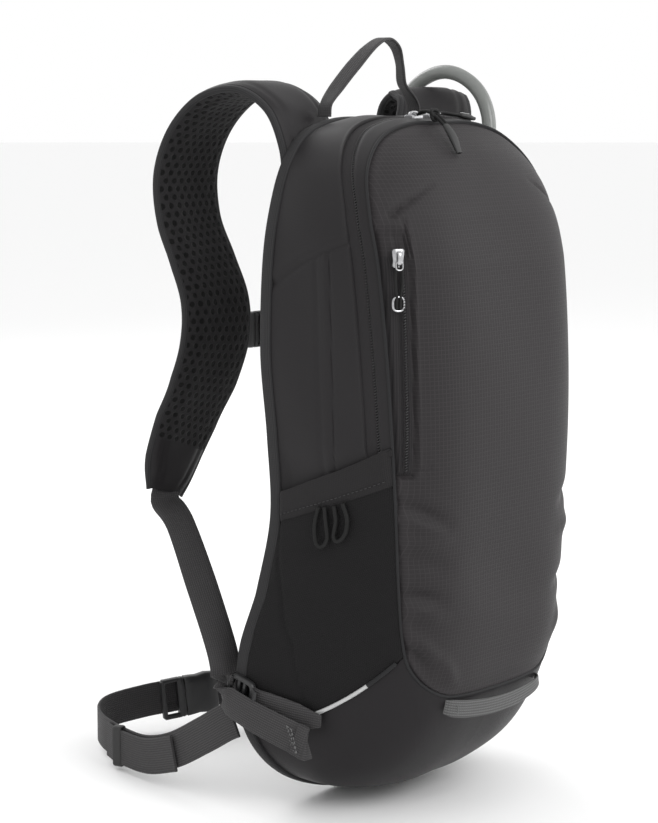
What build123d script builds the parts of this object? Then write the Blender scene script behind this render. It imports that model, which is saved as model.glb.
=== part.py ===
from build123d import *
import math
import os

os.makedirs("parts", exist_ok=True)

# Hydration pack, worn on the back.  Millimetres, +Z up, +Y towards the wearer, +X to the wearer's right.
# Origin: foot of the back panel, on its centre line, in the plane of the upper back.

# ---------------------------------------------------------------- driving dimensions
FABRIC = 2.5            # padded fabric walls of the bag
BOARD = 4.0             # foam board of the back panel
PAD = 6.0               # back pads, over the board
TAPE = 1.6              # zip tapes and light sheets
ZIP_HALF = 8.0          # width of one zip tape
POCKET_GAP = 11.0       # room between bag side and stretch pocket's outer face
POCKET_FOOT, POCKET_TOP = 66.0, 204.0
FOLD_LOW, FOLD_HIGH = 166.0, 214.0      # soft band that lets the front fall open
SHEET = 1.3             # frame sheet and sleeve
HOSE_D, HOSE_BORE = 9.5, 6.4
STRAP_PAD = 10.0        # shoulder pad thickness
WEB = 2.0               # webbing thickness
WEB_WIDTH = 22.0
STERNUM_WEB = 20.0
WAIST_WEB = 24.0
HAUL_WIDTH = 11.0
GAP = 0.4               # clearance between bodies
FAR = 200.0             # half width of cutting blocks

# Stations of the bag: height, back half width, back Y, seam half width, seam Y, front Y, pocket recess
BAG = [
    (0, 40, 2, 34, -44, -50, 0),
    (10, 60, 6, 50, -56, -65, 0),
    (25, 88, 11, 66, -72, -84, 0),
    (46, 101, 15, 75, -83, -96, 0),
    (62, 106, 17, 79, -87, -100, 0),
    (68, 107, 17, 80, -88, -102, POCKET_GAP),
    (100, 107, 14, 81, -90, -107, POCKET_GAP),
    (135, 103, 4, 83, -91, -110, POCKET_GAP),
    (185, 97, -4, 87, -91, -112, POCKET_GAP),
    (206, 97, -4, 88, -91, -113, POCKET_GAP),
    (236, 98, -3, 90, -90, -113, 1.5),
    (290, 101, 0, 91, -87, -111, 0),
    (345, 98, 0, 93, -82, -106, 0),
    (375, 93, 0, 93, -75, -98, 0),
    (395, 86, 0, 88, -69, -90, 0),
    (412, 76, 0, 76, -62, -79, 0),
    (424, 62, 0, 58, -58, -69, 0),
    (431, 48, 0, 40, -56, -62, 0),
]
BAG_TOP = BAG[-1][0]
# The main zip's line on the bag's side, as (Y, Z)
ZIP_LINE = [(-42, 450), (-42, 431), (-55, 395), (-68, 345), (-73, 290), (-75, 250), (-77, FOLD_HIGH)]
HINGE_Y, HINGE_Z = ZIP_LINE[-1][0], FOLD_HIGH - 4.0


# ---------------------------------------------------------------- helpers
def save(shape, node):
    """One sub-part, written under its node's name."""
    export_step(shape, f"parts/{node}.step")


def prism(points, half=FAR):
    """A closed outline in the YZ plane, carried along X to both sides."""
    face = make_face(Plane.YZ * Polyline(*points, close=True))
    return extrude(face, amount=half, both=True)


def block(x0, x1, y0, y1, z0, z1):
    """A box between two corners."""
    size = (x1 - x0, y1 - y0, z1 - z0)
    return Pos((x0 + x1) / 2, (y0 + y1) / 2, (z0 + z1) / 2) * Box(*size)


def ring(station, inset, recessed):
    """One horizontal section of the bag, with its sides moved in by an inset."""
    z, back, back_y, seam, seam_y, front_y, recess = station
    side = recess if recessed else 0
    mid = (back + seam) / 2 + 3
    half = [
        (back - inset - side, back_y - inset),
        (mid - inset - side, (back_y + seam_y) / 2),
        (seam - inset, seam_y + inset * 0.3),
        (seam * 0.62, front_y + 2 + inset),
    ]
    left = [(-x, y) for x, y in reversed(half)]
    return make_face(Polyline(*[Vector(x, y, z) for x, y in half + left], close=True))


def bag(inset=0.0, recessed=True):
    """The bag's outer form, or the same form moved in by an inset on every side."""
    low, high = BAG[0][0] + inset, BAG_TOP - inset
    rows = [list(s) for s in BAG]
    rows[0][0], rows[-1][0] = low, high
    rows = [r for i, r in enumerate(rows) if i in (0, len(rows) - 1) or low + 1 < r[0] < high - 1]
    return loft([ring(r, inset, recessed) for r in rows], ruled=True)


def back_band(front, rear, low=-10.0, high=460.0):
    """Everything between two offsets from the curve of the back."""
    line = [(s[2], s[0]) for s in BAG]
    line = [(line[0][0], low)] + line[1:-1] + [(line[-1][0], high)]
    return prism([(y + front, z) for y, z in line] + [(y + rear, z) for y, z in reversed(line)])


def zip_band(front, rear, low=FOLD_HIGH, high=450.0):
    """Everything between two offsets from the main zip's line."""
    line = [(y, min(max(z, low), high)) for y, z in ZIP_LINE]
    return prism([(y + front, z) for y, z in line] + [(y + rear, z) for y, z in reversed(line)])


def ribbon(points, widths, thick, across=(1, 0, 0)):
    """A flat band: rectangles square to a line of points, joined by ruled sides."""
    points = [Vector(*p) for p in points]
    count = len(points)
    widths = widths if isinstance(widths, list) else [widths] * count
    across = across if isinstance(across, list) else [across] * count
    faces = []
    for i, point in enumerate(points):
        along = (points[min(i + 1, count - 1)] - points[max(i - 1, 0)]).normalized()
        wide = Vector(*across[i])
        wide = (wide - along * wide.dot(along)).normalized()
        up = along.cross(wide)
        a, b = wide * (widths[i] / 2), up * (thick / 2)
        corners = [point + a + b, point - a + b, point - a - b, point + a - b]
        faces.append(make_face(Polyline(*corners, close=True)))
    return loft(faces, ruled=True)


def arcs_for(points, share=0.45):
    """Radius of the arc at each corner: a share of its shorter run over the tangent of half the turn."""
    points = [Vector(*p) for p in points]
    radii = []
    for a, b, c in zip(points, points[1:], points[2:]):
        half_turn = math.radians((b - a).get_angle(c - b) / 2)
        radii.append(share * min((b - a).length, (c - b).length) / math.tan(half_turn))
    return radii


def tube(points, outer, bore=0.0, share=0.45):
    """A round tube along straight runs joined by tangent arcs; gives the solid and its line."""
    radii = arcs_for(points, share)
    line = FilletPolyline(*[Vector(*p) for p in points], radius=radii)
    start = Plane(line @ 0, z_dir=line % 0)
    solid = sweep(start * Circle(outer / 2), path=line)
    if bore:
        solid -= sweep(start * Circle(bore / 2), path=line)
    return solid, line, radii


def flip(shape):
    """The same piece on the other side of the centre plane."""
    return mirror(shape, about=Plane.YZ)


def left_and_right(shape, node):
    """Writes a piece of the left side, and its mirror image on the right."""
    save(shape, node + "_left")
    save(flip(shape), node + "_right")


# ---------------------------------------------------------------- bag
skin = bag(0, recessed=False)
wall = bag(0) - bag(FABRIC)
board_zone = back_band(-BOARD, 2)
in_front_of_board = back_band(-300, -BOARD)
behind_zip = zip_band(ZIP_HALF, 300)
front_of_zip = zip_band(-300, -ZIP_HALF)
fold_corner = block(-FAR, FAR, -FAR, -66, FOLD_HIGH - 8, FOLD_HIGH)

CAP = 25.0              # height of the bottom cup
SHOULDER = 395.0        # side walls end here and the top wall starts
port_axis = Vector(9, -5, 27).normalized()
PORT_AT = Vector(87, -23.9, 399)
PORT_D = 16.0
port_room = Plane(PORT_AT - port_axis * 16, z_dir=port_axis) * Cylinder(
    PORT_D / 2, 32, align=(Align.CENTER, Align.CENTER, Align.MIN))


def build_bag():
    """Board, sheet, pads, walls, pockets and trims of the bag itself."""
    save(skin & board_zone, "back_board")
    sheet_zone = back_band(-BOARD - SHEET, -BOARD) & block(-70, 70, -FAR, FAR, 40, 400)
    save(sheet_zone, "frame_sheet")

    upper = block(-84, -10, -FAR, FAR, 228, 374) & back_band(0, PAD)
    save(upper, "back_pad_upper_left")
    save(flip(upper), "back_pad_upper_right")
    lumbar = block(-84, -10, -FAR, FAR, 40, 205) & back_band(0, PAD)
    save(lumbar, "back_pad_lumbar_left")
    save(flip(lumbar), "back_pad_lumbar_right")

    trim = (bag(-1.5, recessed=False) - skin) & back_band(-7, -0.5) & block(-FAR, FAR, -FAR, FAR, 12, 424)
    save(trim, "edge_binding")

    body = wall & in_front_of_board
    rear = body & behind_zip
    side = rear & block(-FAR, 0, -FAR, FAR, FOLD_HIGH, SHOULDER)
    low_side = body & block(-FAR, -60, -84, FAR, CAP, FOLD_HIGH) - fold_corner
    left = side + low_side
    save(left, "side_wall_left")
    save(flip(left) - port_room, "side_wall_right")
    save((rear & block(-FAR, FAR, -FAR, FAR, SHOULDER, 460)) - port_room, "top_wall")
    save(body & block(-FAR, FAR, -FAR, FAR, -10, CAP), "bottom_cup")
    low_front = body & block(-FAR, FAR, -FAR, FAR, CAP, FOLD_LOW)
    low_front -= block(-FAR, -60, -84, FAR, CAP, FOLD_LOW)
    low_front -= block(60, FAR, -84, FAR, CAP, FOLD_LOW)
    save(low_front, "lower_front_wall")
    save(body & (block(-FAR, FAR, -FAR, -84, FOLD_LOW, FOLD_HIGH) + fold_corner), "front_fold")

    pouch = (skin - bag(0)) & block(-FAR, 0, -86, FAR, POCKET_FOOT, POCKET_TOP) & in_front_of_board
    room = bag(TAPE, recessed=False) & back_band(-300, -BOARD - 6)
    pouch -= room & block(-FAR, 0, -80, FAR, POCKET_FOOT + 5, 300)
    left_and_right(pouch, "side_pocket")

    cord = [(-99.5, -44, 170), (-101, -44, 160), (-101, -50, 153), (-101, -56, 160), (-99.5, -56, 170)]
    loop, _, _ = tube(cord, 2.6)
    left_and_right(loop, "cord_loop")

    strip = [(-48, -101.3, 72), (-38, -106.5, 70.3), (0, -109, 67.5), (38, -106.5, 70.3), (48, -101.3, 72)]
    save(ribbon(strip, 11.5, TAPE, across=(0, 0, 1)), "light_loop")

    thin = bag(0) - bag(TAPE)
    above = block(-FAR, FAR, -FAR, FAR, FOLD_HIGH, 460)
    save(thin & zip_band(0, ZIP_HALF) & above, "main_zip_tape_rear")


def build_front():
    """The front that falls open, its pocket, and the zips' sliders and pulls."""
    front = wall & front_of_zip & block(-FAR, FAR, -FAR, FAR, FOLD_HIGH, 460)
    slot = block(-88, -80, -FAR, -78, 222, 372)
    save(front - slot, "front_panel")
    thin = bag(0) - bag(TAPE)
    above = block(-FAR, FAR, -FAR, FAR, FOLD_HIGH, 460)
    save(thin & zip_band(-ZIP_HALF, -0.3) & above, "main_zip_tape_front")
    save((thin & slot) - zip_band(-ZIP_HALF - 0.2, 300), "pocket_zip_tape")
    lining = (bag(8) - bag(8 + TAPE)) & zip_band(-300, -24) & block(-78, 78, -FAR, -62, 224, 380)
    save(lining, "front_pocket_lining")


SLIDER = (8.0, 11.0, 4.0)       # zip slider: across, along, high
SLIDER_X = 9.0


def slider_body(high=SLIDER[2]):
    """A zip slider: a rounded block with a bridge for its pull; its foot is at Z 0 and it runs along X."""
    shape = Pos(0, 0, high / 4) * Box(SLIDER[1], SLIDER[0], high / 2)
    shape = fillet(shape.edges().filter_by(Axis.Z), 2.5)
    bridge = Pos(0, 0, high / 2) * Box(7, 2.4, high / 2 + 1, align=(Align.CENTER, Align.CENTER, Align.MIN))
    bridge -= Pos(0, 0, high / 2) * Box(4, 4, 1.6, align=(Align.CENTER, Align.CENTER, Align.MIN))
    return shape + bridge


def build_sliders():
    """Sliders stand just above their tapes; pulls hang from the sliders' bridges."""
    top = BAG_TOP + GAP
    zip_y = ZIP_LINE[1][0]
    for side, name in ((-1, "left"), (1, "right")):
        save(Pos(side * SLIDER_X, zip_y, top) * slider_body(), f"main_slider_{name}")
    hang = [(-SLIDER_X, zip_y - 3.2, top + 3.2), (-SLIDER_X, zip_y - 17, top + 3.4),
            (-SLIDER_X - 1, zip_y - 27, top - 3), (-SLIDER_X - 2, zip_y - 37, top - 16)]
    save(ribbon(hang, [4, 5, 6, 6], 2.2), "main_pull_left")
    lie = [(SLIDER_X + 5.4, zip_y, top + 3.2), (SLIDER_X + 18, zip_y, top + 3.2),
           (SLIDER_X + 31, zip_y, top + 1.6), (SLIDER_X + 42, zip_y, top + 0.8)]
    save(ribbon(lie, [4, 5, 6, 6], 2.2, across=(0, 1, 0)), "main_pull_right")

    foot = Vector(-85.9, -89.6, 352)
    out = Vector(-0.53, -0.85, 0).normalized()
    stand = Plane(origin=foot, x_dir=(0, 0, 1), z_dir=out)
    save(stand * slider_body(), "pocket_slider")
    drop = [foot + out * lift - Vector(0, 0, down) for lift, down in ((3.4, 5.8), (3.8, 18), (3.2, 30))]
    save(ribbon(drop, [4, 6, 7], 2.2, across=(-out.Y, out.X, 0)), "pocket_pull")


# ---------------------------------------------------------------- reservoir and hose
HOSE_ROUTE = [
    (60, -25, 66), (64, -25, 108), (67.5, -24.5, 154), (70, -24, 204), (71, -23, 254),
    (71.5, -22, 300), (74.5, -20.5, 342), (80, -20, 376), (89.6, -25.3, 405), (96, -25.5, 430),
    (98.5, -13, 453), (99, 13, 465), (98.5, 38, 457), (98, 54, 438), (97, 62, 418),
    (94, 71, 400), (88, 85, 381), (81, 98, 357), (76, 105.5, 329), (74, 108, 301),
]


def build_reservoir():
    """Bladder with its closure, hanger, sleeve, hose connector and release button."""
    bladder = block(-72, 46, -36, -13, 46, 356)
    bladder = fillet(bladder.edges().filter_by(Axis.Y), 22)
    bladder = fillet(bladder.edges().group_by(Axis.Y)[0], 7)
    save(bladder, "reservoir_bladder")
    save(block(-70, 44, -30, -19, 356, 366), "reservoir_slide_closure")
    hook = block(-15, 3, -26, -23, 366, 392) - block(-10, -2, -30, -20, 374, 384)
    save(hook, "reservoir_hanger")
    save(block(-76, 76, -41 - SHEET, -41, 40, 372), "reservoir_sleeve")
    body = Pos(54, -25, 58) * Cylinder(7, 12) + Pos(48.5, -25, 58) * Rot(0, 90, 0) * Cylinder(5, 5)
    stem = Pos(60, -25, 59.3) * Cylinder(6.5, 12)
    connector = (body + stem) - Pos(54, -33.5, 58) * Rot(90, 0, 0) * Cylinder(3.0, 13)
    connector -= block(-FAR, 46, -FAR, 0, 40, 80)
    save(connector, "hose_connector")
    save(Pos(54, -33.2, 58) * Rot(90, 0, 0) * Cylinder(2.7, 7), "release_button")


def build_hose():
    """The drinking hose on its route, its port in the top wall, its keepers and its bite valve."""
    hose, line, radii = tube(HOSE_ROUTE, HOSE_D, HOSE_BORE)
    area = math.pi / 4 * (HOSE_D ** 2 - HOSE_BORE ** 2)
    print("hose length", round(line.length, 1), "volume ratio", round(hose.volume / (area * line.length), 4))
    print("hose radii", [round(r) for r in radii])
    save(hose, "drinking_hose")
    solid_hose, _, _ = tube(HOSE_ROUTE, HOSE_D)
    port = port_room & Plane(PORT_AT - port_axis * 7, z_dir=port_axis) * Cylinder(
        PORT_D / 2, 14, align=(Align.CENTER, Align.CENTER, Align.MIN))
    save(port - solid_hose, "hose_port")
    keepers = []
    for spot in (0.80, 0.9):
        at = Plane(line @ spot, z_dir=line % spot)
        band = at * Cylinder(HOSE_D / 2 + 1.6, 12) - solid_hose
        keepers.append(band)
    save(Compound(children=keepers), "hose_keepers")
    end = Plane(line @ 1, z_dir=line % 1)
    body = end * Cylinder(6.5, 22, align=(Align.CENTER, Align.CENTER, Align.MIN))
    save(body, "bite_valve_body")
    tip = end * Pos(0, 0, 22 + GAP) * Cylinder(7.5, 20, align=(Align.CENTER, Align.CENTER, Align.MIN))
    save(tip, "bite_valve_tip")
    print("valve axis", line @ 1, line % 1)


# ---------------------------------------------------------------- harness
def build_straps():
    """Shoulder pads, their webbing, ladder locks and anchor wings."""
    shared = [(-61, 91, 342), (-60, 81, 316), (-61, 80, 290), (-65, 87, 262),
              (-71, 97, 236), (-79, 103, 210), (-85, 104, 190)]
    widths = [60, 62, 64, 64, 60, 50, 34]
    left = [(-53, 5.6, 392), (-54, 7, 416), (-56, 17, 439), (-58, 40, 451), (-60, 68, 446),
            (-62, 91, 426), (-63, 103, 398), (-63, 101, 368)] + shared
    save(ribbon(left, [50, 52, 54, 56, 58, 58, 58, 58] + widths, STRAP_PAD), "shoulder_pad_left")
    turned = (math.cos(math.radians(16)), -math.sin(math.radians(16)), 0)
    half_turned = (math.cos(math.radians(8)), -math.sin(math.radians(8)), 0)
    straight = (1, 0, 0)
    right = [(60, 8.6, 392), (70, 11, 416), (82, 13, 436), (90, 24, 447), (92, 38, 440),
             (91, 46, 422), (88, 55, 402), (82, 68, 380), (72, 82, 360)]
    across = [straight, half_turned, turned, turned, half_turned] + [straight] * 11
    right += [(-x, y, z) for x, y, z in shared]
    save(ribbon(right, [50, 54, 58, 60, 60, 60, 60, 60, 60] + widths, STRAP_PAD, across), "shoulder_pad_right")

    run = [(-87, 101.5, 184), (-97, 78, 176), (-101, 58, 140), (-104, 38, 102), (-108, 27, 80)]
    lean = [(1, 0, 0.3), (0.95, -0.15, 0.1), (0.85, -0.3, 0.1), (0.5, 0.2, 0.4), (0.1, 0.4, 0.8)]
    tail = [(-114.5, 26, 70), (-115, 4, 64), (-112, -18, 57), (-107.5, -36, 51)]
    web = ribbon(run, WEB_WIDTH, WEB, lean) + ribbon(tail, 20, WEB, (0, 0.3, 1))
    left_and_right(web, "shoulder_webbing")

    lock = Box(4.5, 22, 28) - Pos(0, -5, 0) * Box(10, 3.6, 23) - Pos(0, 5, 0) * Box(10, 3.6, 23)
    lock = Pos(-110.5, 15, 72) * Rot(15, 0, 0) * lock
    left_and_right(lock, "ladder_lock")
    wing = [(-99.5, -42, 64), (-103.5, -26, 65), (-108, -8, 67), (-110, 2.4, 68.6)]
    left_and_right(ribbon(wing, [10, 18, 22, 22], WEB, (0, 0, 1)), "anchor_wing")


def buckle(width, thick, length):
    """Side-release buckle along X: the socket from 0 to its mouth, and the plug that slides out towards +X."""
    mouth = length * 0.58
    socket = Pos(mouth / 2, 0, 0) * Box(mouth, thick, width)
    socket = fillet(socket.edges().filter_by(Axis.Y), 2.5)
    room = (mouth - 6, thick - 3, width - 5)
    socket -= Pos(mouth, 0, 0) * Box(*room, align=(Align.MAX, Align.CENTER, Align.CENTER))
    prong = Box(mouth - 8, thick - 4.2, 4.2, align=(Align.MAX, Align.CENTER, Align.CENTER))
    plug = Pos(mouth + GAP, 0, 0) * Box(length - mouth, thick * 0.8, width, align=(Align.MIN, Align.CENTER, Align.CENTER))
    plug -= Pos(length - 5, 0, 0) * Box(4, thick + 2, width - 6)
    for side in (-1, 1):
        plug += Pos(mouth + GAP, 0, side * (width / 2 - 5.2)) * prong
    return socket, plug


STERNUM_Y, STERNUM_Z = 102.0, 290.0


def build_sternum():
    """Chest strap: rails on the pads, sliders on the rails, webbing, and the buckle between them."""
    rails = []
    for side in (-1, 1):
        rail = Pos(side * 44, 97, STERNUM_Z) * Cylinder(2, 66)
        for high, foot in ((STERNUM_Z - 34.5, 96.6), (STERNUM_Z + 34.5, 91.2)):
            rail += block(side * 44 - 4, side * 44 + 4, foot, 100, high - 2.5, high + 2.5)
        rails.append(rail)
    save(Compound(children=rails), "sternum_rails")
    clip = Pos(-44, 98.2, STERNUM_Z) * Box(12, 8.4, 15) - Pos(-44, 97, STERNUM_Z) * Cylinder(2.3, 40)
    clip = clip + Pos(-37.5, STERNUM_Y, STERNUM_Z) * Box(3, 4.4, 20)
    left_and_right(clip, "sternum_slider")
    socket, plug = buckle(25, 8, 34)
    place = Pos(-22, STERNUM_Y, STERNUM_Z)
    save(place * socket, "sternum_buckle_socket")
    save(place * plug, "sternum_buckle_plug")
    save(block(-36, -22, STERNUM_Y - 1, STERNUM_Y + 1, STERNUM_Z - 10, STERNUM_Z + 10), "sternum_webbing_left")
    over = STERNUM_Y + 5.4
    bar = [(35.2, STERNUM_Y + 1, STERNUM_Z), (31, over - 1.5, STERNUM_Z), (25, over, STERNUM_Z), (2, over, STERNUM_Z)]
    save(ribbon(bar, STERNUM_WEB, WEB, (0, 0, 1)), "sternum_webbing_right")


WAIST_AT = Vector(24, 160, 25)
WAIST_DIR = Vector(-0.88, 0.46, -0.1).normalized()


def build_waist():
    """Waist belt: webbing from each anchor to the buckle."""
    socket, plug = buckle(30, 9, 42)
    frame = Plane(origin=WAIST_AT, x_dir=WAIST_DIR, z_dir=WAIST_DIR.cross(Vector(0, 0, 1)).cross(WAIST_DIR))
    save(frame * socket, "waist_buckle_socket")
    save(frame * plug, "waist_buckle_plug")

    def spot(along, off=0.0):
        point = WAIST_AT + WAIST_DIR * along + frame.y_dir * off
        return (point.X, point.Y, point.Z)

    near = [(-109, 30, 52), (-108, 50, 40), (-104, 80, 24), (-98, 110, 15), (-91, 140, 14), (-80, 170, 15),
            (-64, 190, 16), (-44, 198.5, 17)]
    near += [spot(52, -7.6), spot(34, -6.8), spot(26, -6.6)]
    save(ribbon(near, WAIST_WEB, WEB, (0, 0, 1)), "waist_webbing_left")
    far = [(109, 30, 52), (106, 56, 44), (96, 86, 36), (78, 116, 31), (54, 141, 28), spot(-12), spot(0)]
    save(ribbon(far, WAIST_WEB, WEB, (0, 0, 1)), "waist_webbing_right")
    print("waist slide", WAIST_DIR)


def build_haul_loop():
    """Grab loop of narrow webbing over the top of the back: a band of even thickness, cut across Y."""
    path = [(-46, 434), (-44, 442), (-34, 452), (-17, 466), (0, 478), (14, 483), (25, 478),
            (30, 467), (32, 455), (39, 448), (44, 441), (45, 434)]
    line = [Vector(x, z) for x, z in path]
    outer, inner = [], []
    for i, point in enumerate(line):
        along = (line[min(i + 1, len(line) - 1)] - line[max(i - 1, 0)]).normalized()
        off = Vector(-along.Y, along.X) * (WEB / 2)
        outer.append((point.X + off.X, 0, point.Y + off.Y))
        inner.append((point.X - off.X, 0, point.Y - off.Y))
    face = make_face(Polyline(*outer, *reversed(inner), close=True))
    save(extrude(face, amount=HAUL_WIDTH / 2, dir=(0, 1, 0), both=True), "haul_loop")


build_bag()
build_front()
build_sliders()
build_reservoir()
build_hose()
build_straps()
build_sternum()
build_waist()
build_haul_loop()
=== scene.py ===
"""Hydration pack: every surface is worked out with numpy in millimetres and written to its mesh in metres.

X points to the wearer's right, Y at the wearer, Z up the back.
"""
import math
import bmesh
import bpy
import numpy as np
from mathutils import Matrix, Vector


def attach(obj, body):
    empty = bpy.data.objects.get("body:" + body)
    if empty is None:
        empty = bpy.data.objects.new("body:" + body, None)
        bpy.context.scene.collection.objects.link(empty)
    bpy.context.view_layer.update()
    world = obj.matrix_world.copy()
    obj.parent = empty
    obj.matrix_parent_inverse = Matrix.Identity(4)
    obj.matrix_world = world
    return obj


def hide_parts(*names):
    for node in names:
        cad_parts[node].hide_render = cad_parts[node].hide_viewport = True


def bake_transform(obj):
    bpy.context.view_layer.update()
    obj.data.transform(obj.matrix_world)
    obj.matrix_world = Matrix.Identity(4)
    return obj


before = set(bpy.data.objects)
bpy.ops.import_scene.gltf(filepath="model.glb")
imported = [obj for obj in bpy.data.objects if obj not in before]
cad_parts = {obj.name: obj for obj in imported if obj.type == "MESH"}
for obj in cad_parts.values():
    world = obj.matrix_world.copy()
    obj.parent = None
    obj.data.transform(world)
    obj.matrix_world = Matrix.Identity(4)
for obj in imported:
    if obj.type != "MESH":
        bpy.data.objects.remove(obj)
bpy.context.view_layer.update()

MM = 0.001


# ---------------------------------------------------------------- shapes
def ease(value, low, high):
    """0 at low, 1 at high, and 3t^2 - 2t^3 between."""
    t = np.clip((np.asarray(value, float) - low) / (high - low), 0, 1)
    return t * t * (3 - 2 * t)


def bell(value, width):
    """exp(-(value / width)^2)."""
    return np.exp(-(np.asarray(value, float) / width) ** 2)


def signed_power(value, power):
    """|value|^power with the value's own sign."""
    return np.sign(value) * np.abs(value) ** power


def unit(vectors):
    """Vectors divided by their lengths."""
    return vectors / np.maximum(np.linalg.norm(vectors, axis=-1, keepdims=True), 1e-9)


def through(points, place):
    """Smooth curve through points: a cubic on each span, its end slopes half the step between the
    neighbours."""
    p = np.asarray(points, float)
    last = len(p) - 1
    p = np.vstack([2 * p[0] - p[1], p, 2 * p[-1] - p[-2]])
    t = np.clip(np.asarray(place, float), 0, last - 1e-9)
    i = t.astype(int)
    f = (t - i)[..., None]
    a, b, c, d = p[i], p[i + 1], p[i + 2], p[i + 3]
    return b + f * ((c - a) + f * ((2 * a - 5 * b + 4 * c - d) + f * (3 * b - a - 3 * c + d))) / 2


def graded(table, value):
    """The smooth curve of a table of (value, result), read at values."""
    t = np.asarray(table, float)
    place = np.interp(value, t[:, 0], np.arange(len(t)))
    return through(t[:, 1:], place)[..., 0]


def even(points, step):
    """Points at even steps along the smooth curve through the given ones, and their share 0 to 1 of its
    points."""
    dense = np.linspace(0, len(points) - 1, 30 * len(points))
    fine = through(points, dense)
    run = np.r_[0, np.cumsum(np.linalg.norm(np.diff(fine, axis=0), axis=1))]
    at = np.linspace(0, run[-1], max(3, int(round(run[-1] / step)) + 1))
    share = np.interp(at, run, dense / dense[-1])
    return np.stack([np.interp(at, run, fine[:, k]) for k in range(3)], -1), share


def lengths(path):
    """Distance run along a path at each of its points."""
    return np.r_[0, np.cumsum(np.linalg.norm(np.diff(path, axis=0), axis=1))]


def frames(path, across):
    """Directions along a path, across it, and square to both."""
    along = unit(np.gradient(path, axis=0))
    across = np.broadcast_to(np.asarray(across, float), path.shape)
    side = unit(across - along * (across * along).sum(-1, keepdims=True))
    return along, side, np.cross(along, side)


def carried(profile, path, across):
    """A profile carried along a path: point = path + side * q0 + up * q1."""
    _, side, up = frames(path, across)
    q = np.broadcast_to(profile, (len(path),) + np.shape(profile)[-2:])
    return path[:, None] + side[:, None] * q[..., :1] + up[:, None] * q[..., 1:]


def oval(wide, thick, power=2.0, count=24):
    """Closed superellipse |q0 / half width|^power + |q1 / half thickness|^power = 1, first point repeated."""
    a = np.linspace(0, 2 * np.pi, count + 1)
    c, s = np.cos(a), np.sin(a)
    wide, thick = np.asarray(wide, float), np.asarray(thick, float)
    q0 = np.multiply.outer(wide / 2, signed_power(c, 2 / power))
    q1 = np.multiply.outer(thick / 2, signed_power(s, 2 / power))
    return np.stack(np.broadcast_arrays(q0, q1), -1)


def flat_band(widths, thick, across=6, turn=4):
    """Flat band with half round edges: straight faces at +-thick / 2 joined by half circles, first point
    repeated."""
    r = thick / 2
    half = np.atleast_1d(np.asarray(widths, float)) / 2 - r
    a = np.linspace(-np.pi / 2, np.pi / 2, turn)
    core = np.r_[np.ones(turn), np.linspace(1, -1, across)[1:-1], -np.ones(turn),
                 np.linspace(-1, 1, across)[1:-1], 1]
    edge = np.r_[np.cos(a), np.zeros(across - 2), -np.cos(a), np.zeros(across - 2), 0]
    high = np.r_[np.sin(a), np.ones(across - 2), -np.sin(a), -np.ones(across - 2), -1]
    q0 = half[:, None] * core + r * edge
    return np.stack([q0, np.broadcast_to(r * high, q0.shape)], -1)


def capped(grid):
    """The same grid with its first and last rows gathered into their middles."""
    first = np.broadcast_to(grid[:1].mean(1, keepdims=True), grid[:1].shape)
    last = np.broadcast_to(grid[-1:].mean(1, keepdims=True), grid[-1:].shape)
    return np.concatenate([first, grid, last])


def ribbon(route, widths, thick, across, step=4.0, bow=0.0, power=None):
    """Band along the smooth curve through a route: widths run between the route's points, ends are closed.
    bow lifts the middle of the band. Gives the grid and its uv in millimetres."""
    path, share = even(route, step)
    widths = np.asarray(widths, float)
    if widths.ndim:
        widths = np.interp(share, np.linspace(0, 1, len(widths)), widths)
    else:
        widths = np.full(len(path), widths)
    across = np.asarray(across, float)
    if across.ndim > 1:
        place = np.linspace(0, 1, len(across))
        across = np.stack([np.interp(share, place, across[:, k]) for k in range(3)], -1)
    q = flat_band(widths, thick) if power is None else oval(widths, thick, power)
    q = q.copy()
    q[..., 1] += bow * (1 - (2 * q[..., 0] / widths[:, None]) ** 2)
    grid = capped(carried(q, path, across))
    run = lengths(path)
    run = np.r_[run[0], run, run[-1]]
    wide = np.concatenate([q[:1] * 0, q, q[-1:] * 0])[..., 0]
    return grid, np.stack([wide, np.broadcast_to(run[:, None], wide.shape)], -1)


def loft(stations, count=28, power=3.2):
    """Closed lump: superellipses at stations (place, width, thickness, across shift, up shift) along X,
    ends gathered."""
    s = np.asarray(stations, float)
    q = oval(s[:, 1], s[:, 2], power, count)
    x = np.broadcast_to(s[:, :1], q.shape[:2])
    return capped(np.stack([x, q[..., 0] + s[:, 3:4], q[..., 1] + s[:, 4:5]], -1))


def placed(grid, origin, along, up):
    """A shape made about the origin, set at a point with its X along one direction and its Z near another."""
    x = unit(np.asarray(along, float))
    z = unit(np.asarray(up, float) - x * np.dot(up, x))
    y = np.cross(z, x)
    return np.asarray(origin, float) + grid[..., :1] * x + grid[..., 1:2] * y + grid[..., 2:] * z


def tube_round(path, radius, sides=12, closed=False):
    """Round tube along a path, its across direction kept as steady as the path allows."""
    path = np.asarray(path, float)
    along = unit(np.gradient(path, axis=0))
    spread = np.abs(along).mean(0)
    steady = np.eye(3)[int(np.argmin(spread))]
    grid = carried(oval(2 * np.asarray(radius, float), 2 * np.asarray(radius, float), 2.0, sides), path,
                   steady)
    return grid if closed else capped(grid)


def normals_of(grid):
    """Unit normals of a grid, from the cross product of its two gradients; a flat spot faces -Y."""
    n = np.cross(np.gradient(grid, axis=0), np.gradient(grid, axis=1))
    size = np.linalg.norm(n, axis=-1, keepdims=True)
    return np.where(size > 1e-6, n / np.maximum(size, 1e-9), np.array([0.0, -1.0, 0.0]))


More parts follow.
